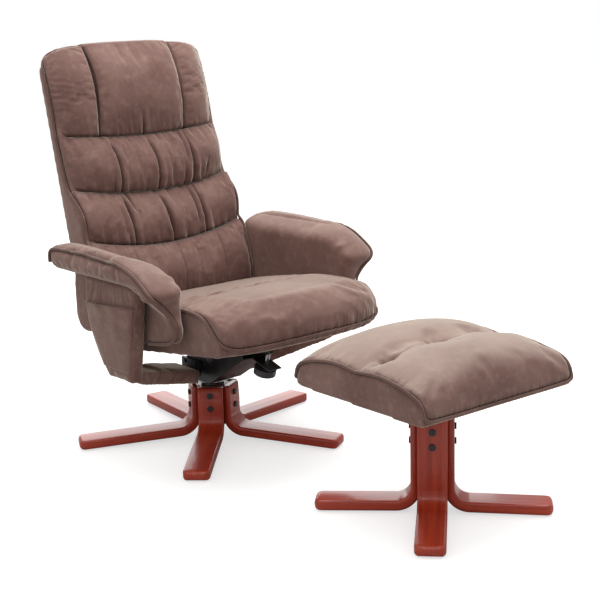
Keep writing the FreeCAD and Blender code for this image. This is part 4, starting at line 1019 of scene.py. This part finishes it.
sew_flat("lumbar_pad", BACK_LOW, LUMBAR_SEAM, LUMBAR_STITCHES, 0.0016, 0.0006)
sew_flat("head_pad", HEAD_SEAM, BACK_TOP, (-HEAD_HALF, HEAD_HALF), 0.0035, 0.0014, HEAD_PLEAT)
for side, sign in (("left", 1), ("right", -1)):
    count = sew_flat("head_wing_" + side, HEAD_SEAM, BACK_TOP, (sign * HEAD_HALF,), 0.0035, 0.0012)
relax_where(pads["back_cover"], np.ones(len(pads["back_cover"].data.vertices)), 10)
print("wing points:", count)

# %% [markdown]
# The seat and the footstool are buttoned: threads pull the cover down at three places in a row, and
# short creases run between them. Along its front edge the seat's cover is gathered into the piping.

# %% Seat and footstool sewing
SEAT_TUFTS = ((-0.138, -0.160), (-0.014, -0.154), (0.110, -0.150))
CREASES = ((-0.170, -0.150, -0.10, 0.026, 0.0022), (-0.142, -0.170, 0.22, 0.020, 0.0026),
           (-0.112, -0.157, -0.22, 0.022, 0.0024), (-0.042, -0.148, 0.16, 0.024, 0.0026),
           (-0.018, -0.166, -0.24, 0.020, 0.0028), (0.010, -0.152, 0.24, 0.022, 0.0030),
           (0.036, -0.162, -0.05, 0.026, 0.0020), (0.092, -0.144, 0.12, 0.022, 0.0024),
           (0.122, -0.160, -0.18, 0.024, 0.0024))
FRONT_PIPE = 0.014
SEAT_TUFT_DEPTH, SEAT_TUFT_WIDTH = 0.0090, 0.018
# The last value sets how strong the painted shade along each crease is.
CREASE_GAIN, CREASE_WIDTH, CREASE_SHADE = 2.6, 0.0042, 210
LIP_PLACE, LIP_WIDTH, LIP_SHARE = 0.009, 0.006, 0.45
TUFT_DEPTH, TUFT_WIDTH, CHANNEL_DEPTH, PUCKER_DEPTH = 0.0085, 0.020, 0.0085, 0.0016


def sew_seat():
    """Tufts and creases press the top down as bells; gathers ripple the front above its piping."""
    pad = pads["seat_pad"]
    p = into(get_points(pad.data), SEAT_FRAME)
    relax_where(pad, step(p[:, 2], 0.030, 0.050) * step(-np.abs(p[:, 0]), -0.234, -0.215), 24)
    p = into(get_points(pad.data), SEAT_FRAME)
    top = step(p[:, 2], 0.060, 0.085)
    down = np.zeros(len(p))
    mask = np.zeros(len(p))
    for x, y in SEAT_TUFTS:
        down += SEAT_TUFT_DEPTH * bell(np.hypot(p[:, 0] - x, p[:, 1] - y), SEAT_TUFT_WIDTH)
    for x, y, slope, length, depth in CREASES:
        off = p[:, 1] - y - slope * (p[:, 0] - x)
        run = bell(p[:, 0] - x, length)
        lips = bell(off - LIP_PLACE, LIP_WIDTH) + bell(off + LIP_PLACE, LIP_WIDTH)
        down += CREASE_GAIN * run * depth * (bell(off, CREASE_WIDTH) - LIP_SHARE * lips)
        # Painted shade along the crease.
        mask = np.maximum(mask, CREASE_SHADE * depth * run * bell(off, 0.0026))
    p[:, 2] -= down * top
    front = step(-p[:, 1], 0.290, 0.340)
    rise = np.clip(p[:, 2] - FRONT_PIPE, 0, 1)
    share = 0.25 + 0.8 * step(p[:, 0], -0.10, 0.06) + 0.4 * step(-p[:, 0], 0.17, 0.21)
    pull = share * np.exp(-rise / 0.030) * (0.0014 * ripple(p[:, 0] + 0.05 * p[:, 2], 0.010)
                                            + 0.0010 * ripple(p[:, 0], 0.024))
    p[:, 1] += pull * front
    set_points(pad.data, out_of(p, SEAT_FRAME))
    # The seat's mask is painted shade in its creases.
    set_mask(pad, "seam", mask * top)


def sew_stool():
    """Three tufts and the channel through them press the top down; painted shade makes a thin dark line along the
    fold and in the tufts.
    """
    pad = pads["footstool_pad"]
    p = into(get_points(pad.data), STOOL_FRAME)
    relax_where(pad, step(p[:, 2], 0.310, 0.330) * step(-np.abs(p[:, 0]), -0.206, -0.192), 40)
    p = into(get_points(pad.data), STOOL_FRAME)
    top = step(p[:, 2], 0.345, 0.362)
    off = p[:, 1] - TUFT_ROW - 0.007 * np.sin((p[:, 0] + 0.20) * 45.0)
    aside = np.abs(p[:, 0][:, None] - TUFTS)
    near = aside.min(1)
    tuft = bell(tuft_distance(p), TUFT_WIDTH)
    fade = 1 - step(np.abs(p[:, 0]), 0.176, 0.214)
    channel = (0.6 * bell(off, 0.022) + 0.4 * bell(off, 0.006)) * (0.6 + 0.4 * bell(near, 0.040))
    channel *= 0.2 + 0.8 * fade
    turn = np.arctan2(p[:, 1] - TUFT_ROW, p[:, 0] - TUFTS[aside.argmin(1)])
    pucker = np.cos(5 * turn + 1.2) * bell(tuft_distance(p) - 0.017, 0.011)
    p[:, 2] -= top * (TUFT_DEPTH * tuft + CHANNEL_DEPTH * channel + PUCKER_DEPTH * pucker)
    edge = np.clip(0.212 - np.abs(p[:, 0]), 0, 1)
    p[:, 2] -= 0.0007 * ripple(p[:, 1], 0.013) * np.exp(-edge / 0.012) * top
    rise = np.clip(p[:, 2] - STOOL_UNDER, 0, 1)
    face = step(np.abs(p[:, 1]), 0.165, 0.190)
    p[:, 1] += 0.0007 * ripple(p[:, 0], 0.012) * np.exp(-rise / 0.018) * face
    set_points(pad.data, out_of(p, STOOL_FRAME))
    # Painted shade: a thin line along the fold of the channel, and a small spot in each tuft.
    fold = 0.62 * bell(off, 0.0022) * fade * (0.35 + 0.65 * bell(near, 0.045))
    set_mask(pad, "seam", top * np.maximum(fold, 0.55 * tuft ** 8))


sew_seat()
sew_stool()
print("tufts:", len(SEAT_TUFTS), "on the seat and", len(TUFTS), "on the footstool")

# %% [markdown]
# An arm is upholstered in one skin: the top rolls over into the inner panel, and the nose curls down to
# it. The socks round the arm uprights reach up to the board.

# %% Arms and socks
ARM_INNER, ARM_ROLL, ARM_CROWN = 0.252, 0.036, 0.532
SOCK_TOP, SOCK_REACH = 0.453, 0.019


def shape_arm(name):
    """Rolls the inner panel over into the top: at a height h up the roll it leans out by R - sqrt(R2 - h2)."""
    pad = pads[name]
    p = get_points(pad.data)
    inside = np.maximum(np.abs(p[:, 0]) - ARM_INNER, -0.0006)
    rise = np.clip((p[:, 2] - (ARM_CROWN - ARM_ROLL)) / ARM_ROLL, 0, 1)
    lean = ARM_ROLL * (1 - np.sqrt(1 - rise ** 2)) * np.clip(1 - inside / (2.2 * ARM_ROLL), 0, 1)
    p[:, 0] = np.sign(p[:, 0]) * (ARM_INNER + inside + lean)
    set_points(pad.data, p)
    nose = step(-p[:, 1], 0.130, 0.200) * step(p[:, 2], 0.330, 0.370)
    inner = step(-np.abs(p[:, 0]), -0.296, -0.280) * step(p[:, 2], 0.420, 0.450)
    relax_where(pad, np.maximum(nose, inner), 110)


for side in ("left", "right"):
    shape_arm("arm_" + side)
    sock = pads["arm_sock_" + side]
    p = get_points(sock.data)
    p[:, 2] += SOCK_REACH * step(p[:, 2], 0.425, SOCK_TOP)
    set_points(sock.data, p)
print("arm points:", len(pads["arm_left"].data.vertices))

# %% [markdown]
# The tops of the cover are painted paler, as a painted highlight where light from above falls on them.
# The mask follows how far the cover faces up, with a share of its own for each piece.

# %% Painted highlight on the tops
# Share of painted highlight on each piece's upward faces.
TOP_LIGHT_SHARES = {"footstool_pad": 0.40, "arm_left": 0.08, "arm_right": 0.08, "seat_pad": 0.05}
for name, share in TOP_LIGHT_SHARES.items():
    set_mask(pads[name], "nap", share * step(point_normals(pads[name].data)[:, 2], 0.50, 0.95))
print("brushed pieces:", len(TOP_LIGHT_SHARES))

# %% [markdown]
# Piping is a cord sewn into a seam under the same cloth. Its path is given by a few guide points in the
# pad's own frame. They are joined by a smooth curve, dropped on to the nearest cloth, and a circle is
# carried along it. The pad dips beside the cord and takes painted shade there.

# %% Path of the piping
PIPE_RADIUS, PIPE_PITCH, PIPE_PROUD = 0.0034, 0.005, 0.30
PRESS_DEPTH, PRESS_PLACE, PRESS_WIDTH = 0.0024, 0.004, 0.006
# Painted shade beside the cord: its strength, place and width.
TUCK_SHADE, TUCK_PLACE, TUCK_WIDTH = 0.75, 0.0035, 0.0030


def smooth_line(guides, closed):
    """Even points on a curve through the guides: a cubic per span, its ends leaning along the neighbours' chord."""
    g = np.array(guides, float)
    before, after = (g[-1:], g[:2]) if closed else (2 * g[:1] - g[1:2], 2 * g[-1:] - g[-2:-1])
    path = np.concatenate([before, g, after])
    t = np.linspace(0, 1, 24, endpoint=False)[None, :, None]
    a, b, c, d = (path[k:len(path) - 3 + k, None, :] for k in range(4))
    fine = 0.5 * (2 * b + (c - a) * t + (2 * a - 5 * b + 4 * c - d) * t ** 2 + (3 * b - a - 3 * c + d) * t ** 3)
    fine = np.concatenate([fine.reshape(-1, 3), path[1:2] if closed else path[-2:-1]])
    run = run_length(fine)
    even = np.linspace(0, run[-1], int(run[-1] / PIPE_PITCH) + 1)
    even = even[:-1] if closed else even
    return np.stack([np.interp(even, run, fine[:, k]) for k in range(3)], -1)


def even_out(rows, rounds, closed):
    """Each round replaces a row by the mean of itself and its neighbours; open ends stay."""
    for _ in range(rounds):
        mean = 0.5 * rows + 0.25 * (np.roll(rows, 1, 0) + np.roll(rows, -1, 0))
        if not closed:
            mean[0], mean[-1] = rows[0], rows[-1]
        rows = mean
    return rows


def cloth_tree(hosts):
    """Search tree over the faces of several pads."""
    points, faces = [], []
    for host in hosts:
        mesh = pads[host].data
        shift = len(points)
        points += get_points(mesh).tolist()
        faces += [[shift + k for k in f.vertices] for f in mesh.polygons]
    return BVHTree.FromPolygons(points, faces)


def near_line(points, line):
    """Distance of every point from the nearest point of a line, worked in blocks."""
    best = []
    for block in np.array_split(points, max(1, len(points) // 8000)):
        gap = (block ** 2).sum(1)[:, None] + (line ** 2).sum(1)[None, :] - 2 * block @ line.T
        best.append(np.sqrt(np.clip(gap.min(1), 0, None)))
    return np.concatenate(best)


print("an open line of two guides 0.1 m apart has", len(smooth_line([(0, 0, 0), (0.1, 0, 0)], False)), "points")

# %% [markdown]
# The cord's section needs two directions square to the path. One is the path's direction crossed with the
# cloth's normal, the other follows from both. After the cord is laid, the pads it touches are pressed in.

# %% Cord and its bed


def tube(name, line, normal, radius, finish, closed, sides=10):
    """Circle carried along a line: across is the line's direction crossed with the cloth's normal."""
    along = np.roll(line, -1, 0) - np.roll(line, 1, 0) if closed else np.gradient(line, axis=0)
    across = np.cross(along, normal)
    across /= np.linalg.norm(across, axis=1, keepdims=True)
    up = np.cross(across, along)
    up /= np.linalg.norm(up, axis=1, keepdims=True)
    turn = np.linspace(0, 2 * np.pi, sides, endpoint=False)[None, :, None]
    rings = line[:, None] + radius * (np.cos(turn) * across[:, None] + np.sin(turn) * up[:, None])
    if closed:
        rings = np.concatenate([rings, rings[:1]])
    piece = make_piece(name, rings.reshape(-1, 3), grid_faces(len(rings), sides, True, not closed), finish)
    outward(piece, weld=True)
    return piece


def lay_piping(name, guides, place, hosts, body, closed=False):
    """Piping on its pads: drops the guide curve on to the cloth, beds a cord in it, presses the cloth by it and
    paints shade beside it.
    """
    line = smooth_line(out_of(np.array(guides), place), closed)
    tree = cloth_tree(hosts)
    for rounds in (6, 3, 1):
        hits = [tree.find_nearest(Vector(spot)) for spot in line]
        line = even_out(np.array([h[0] for h in hits]), rounds, closed)
    normal = even_out(np.array([h[1] for h in hits]), 12, closed)
    normal /= np.linalg.norm(normal, axis=1, keepdims=True)
    cord = tube(name, line + PIPE_PROUD * PIPE_RADIUS * normal, normal, PIPE_RADIUS, cord_cloth, closed)
    for host in hosts:
        mesh = pads[host].data
        p = get_points(mesh)
        gap = near_line(p, line)
        press = PRESS_DEPTH * bell(gap - PRESS_PLACE, PRESS_WIDTH)
        set_points(mesh, p - point_normals(mesh) * press[:, None])
        old = np.zeros(len(p), np.float32)
        if mesh.attributes.get("seam"):
            mesh.attributes["seam"].data.foreach_get("value", old)
        # Painted shade in the tuck beside the cord.
        tuck_shade = TUCK_SHADE * bell(np.clip(gap - TUCK_PLACE, 0, 1), TUCK_WIDTH)
        set_mask(pads[host], "seam", np.maximum(old, tuck_shade))
    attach(cord, body)
    return cord


print("piping is", PIPE_RADIUS * 2000, "mm thick")

# %% [markdown]
# On the seat the piping runs along both sides and round the front, on the back up one side, over the top
# and down the other, and on the footstool round each end and along both long edges.

# %% Piping of the seat, back and footstool


def mirrored(points):
    """A half path and its mirror image, joined where x is nought."""
    half = np.array(points)
    return np.concatenate([half, half[-2::-1] * np.array([-1, 1, 1])])


SEAT_PIPE = mirrored([
    (-0.244, 0.150, 0.094), (-0.244, 0.060, 0.098), (-0.244, -0.043, 0.102), (-0.244, -0.124, 0.116),
    (-0.244, -0.205, 0.108), (-0.244, -0.264, 0.092), (-0.242, -0.294, 0.062), (-0.236, -0.312, 0.036),
    (-0.222, -0.328, 0.019), (-0.200, -0.342, 0.014), (-0.146, -0.367, 0.013), (-0.070, -0.380, 0.013),
    (0.0, -0.384, 0.013)])
BACK_PIPE = mirrored([
    (-0.247, -0.100, 0.016), (-0.248, -0.112, 0.058), (-0.248, -0.112, 0.110), (-0.248, -0.108, 0.150),
    (-0.248, -0.098, 0.180), (-0.248, -0.100, 0.205), (-0.248, -0.102, 0.230), (-0.248, -0.090, 0.262),
    (-0.248, -0.068, 0.292), (-0.248, -0.048, 0.314), (-0.248, -0.042, 0.360), (-0.248, -0.040, 0.404),
    (-0.248, -0.034, 0.452), (-0.248, -0.036, 0.540), (-0.247, -0.030, 0.618), (-0.238, -0.026, 0.654),
    (-0.212, -0.026, 0.677), (-0.150, -0.026, 0.688), (0.0, -0.026, 0.694)])
END_PIPE = np.array([
    (-0.218, 0.209, 0.302), (-0.218, 0.197, 0.335), (-0.218, 0.139, 0.357), (-0.218, 0.066, 0.367),
    (-0.218, 0.0, 0.361), (-0.218, -0.066, 0.367), (-0.218, -0.139, 0.357), (-0.218, -0.197, 0.335),
    (-0.218, -0.209, 0.302)])
EDGE_PIPE = np.array([(-0.140, -0.210, 0.297), (0.0, -0.210, 0.297), (0.140, -0.210, 0.297)])
HALF_TURN = np.array([-1, -1, 1])
STOOL_PIPE = np.concatenate([END_PIPE, EDGE_PIPE, END_PIPE * HALF_TURN, EDGE_PIPE * HALF_TURN])
lay_piping("seat_piping", SEAT_PIPE, SEAT_FRAME, ["seat_pad"], "seat_shell")
BACK_HOSTS = ["back_cover", "lumbar_pad", "lower_roll", "upper_roll", "head_pad", "head_wing_left",
              "head_wing_right"]
lay_piping("back_piping", BACK_PIPE, BACK_FRAME, BACK_HOSTS, "seat_shell")
cord = lay_piping("footstool_piping", STOOL_PIPE, STOOL_FRAME, ["footstool_pad"], "stool", True)
print("footstool piping points:", len(cord.data.vertices))

# %% [markdown]
# Each arm has one line of piping: along its outer edge, round the nose and back under the inner panel.

# %% Piping of the arms
ARM_PIPE = np.array([
    (0.354, 0.178, 0.490), (0.355, 0.174, 0.520), (0.355, 0.140, 0.532), (0.355, 0.060, 0.535),
    (0.355, -0.040, 0.535), (0.355, -0.120, 0.530), (0.355, -0.180, 0.520), (0.354, -0.218, 0.502),
    (0.352, -0.242, 0.482), (0.342, -0.256, 0.460), (0.322, -0.262, 0.436), (0.302, -0.266, 0.412),
    (0.288, -0.268, 0.390), (0.284, -0.262, 0.366), (0.287, -0.246, 0.348), (0.289, -0.215, 0.338),
    (0.289, -0.150, 0.326)])
for side, sign in (("left", 1), ("right", -1)):
    guides = ARM_PIPE * np.array([sign, 1, 1])
    cord = lay_piping("arm_piping_" + side, guides, ROOM_FRAME, ["arm_" + side], "arm_frame")
print("arm piping points:", len(cord.data.vertices))

# %% [markdown]
# The right arm's sock carries a flat pocket for magazines. It is one patch of cover sewn to the sock down
# both sides and along the bottom, and its mouth stands a little open under a rolled hem.

# %% Pocket
MOUTH_REAR, MOUTH_FRONT, POCKET_BOTTOM, POCKET_STAND = 0.408, 0.424, 0.262, 0.0095
POCKET_COLUMNS, POCKET_ROWS, POCKET_GAP, PATCH_THICK = 64, 48, 0.0012, 0.0016
HEM_RADIUS, HEM_PROUD = 0.0022, 0.0006
SOCK_INSET, SOCK_LOW, SOCK_TALL, SOCK_FACE, RAY_START = 0.006, 0.240, 0.213, -0.330, -0.6
SOCK_FRONT, SOCK_LEAN = -0.140, 0.036
SOCK_HEIGHTS = (0.240, 0.262, 0.290, 0.320, 0.360, 0.400, 0.453)
SOCK_REAR = (-0.030, -0.008, 0.011, 0.024, 0.035, 0.044, 0.053)


def sock_edge(z, front):
    """Front or rear edge of the sock at a height: a straight line in front, a bow behind."""
    if front:
        return SOCK_FRONT - SOCK_LEAN * (z - SOCK_LOW) / SOCK_TALL + SOCK_INSET
    return np.interp(z, SOCK_HEIGHTS, SOCK_REAR) - SOCK_INSET


def make_pocket():
    """Patch over the sock: u runs rear to front, v bottom to mouth, and it stands off about as sin(pi u) v2."""
    u, v = np.meshgrid(np.linspace(0, 1, POCKET_COLUMNS), np.linspace(0, 1, POCKET_ROWS), indexing="ij")
    z = POCKET_BOTTOM + (MOUTH_REAR + (MOUTH_FRONT - MOUTH_REAR) * u - POCKET_BOTTOM) * v
    rear, fore = sock_edge(z, False), sock_edge(z, True)
    y = rear + (fore - rear) * u
    tree = cloth_tree(["arm_sock_right"])
    spots = zip(y.ravel().tolist(), z.ravel().tolist())
    hits = [tree.ray_cast(Vector((RAY_START, a, b)), Vector((1.0, 0.0, 0.0)))[0] for a, b in spots]
    x = np.array([SOCK_FACE if h is None else h[0] for h in hits]).reshape(u.shape)
    stand = np.sin(np.pi * u) ** 0.7 * v ** 1.8
    wave = 0.0010 * np.sin(u * 19.0 + 2.0 * v) * v
    x = x - POCKET_GAP - (POCKET_STAND + wave) * stand
    points = np.stack([x, y, z], -1).reshape(-1, 3)
    patch = make_piece("pocket_patch", points, grid_faces(POCKET_COLUMNS, POCKET_ROWS, False), suede)
    wall = patch.modifiers.new("wall", "SOLIDIFY")
    wall.thickness = PATCH_THICK
    wall.offset = 0.0
    bake(patch)
    smooth(patch)
    flat = float(((rear - fore)[0] * np.gradient(z[0])).sum())
    hem = points.reshape(POCKET_COLUMNS, POCKET_ROWS, 3)[:, -1] - np.array([HEM_PROUD, 0.0, 0.0])
    outside = np.tile((-1.0, 0.0, 0.0), (POCKET_COLUMNS, 1))
    edge = tube("pocket_hem", hem, outside, HEM_RADIUS, cord_cloth, False)
    return patch, edge, flat


patch, hem, flat = make_pocket()
for piece in (patch, hem):
    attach(piece, "arm_frame")
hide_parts("arm_pocket")
print("pocket patch", round(flat * 1e4), "square cm")

# %% [markdown]
# Each filled cover takes the place of the solids it stands for and rides on their body.

# %% Put the stuffed pieces in place
for name, parts, body, place, voxel, sewn, pressure, slack, cap in STUFFED:
    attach(pads[name], body)
    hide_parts(*parts)
print("stuffed pieces:", len(pads))

# %% [markdown]
# The last line measures the box round everything that is shown.

# %% Measure and finish
low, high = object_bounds()
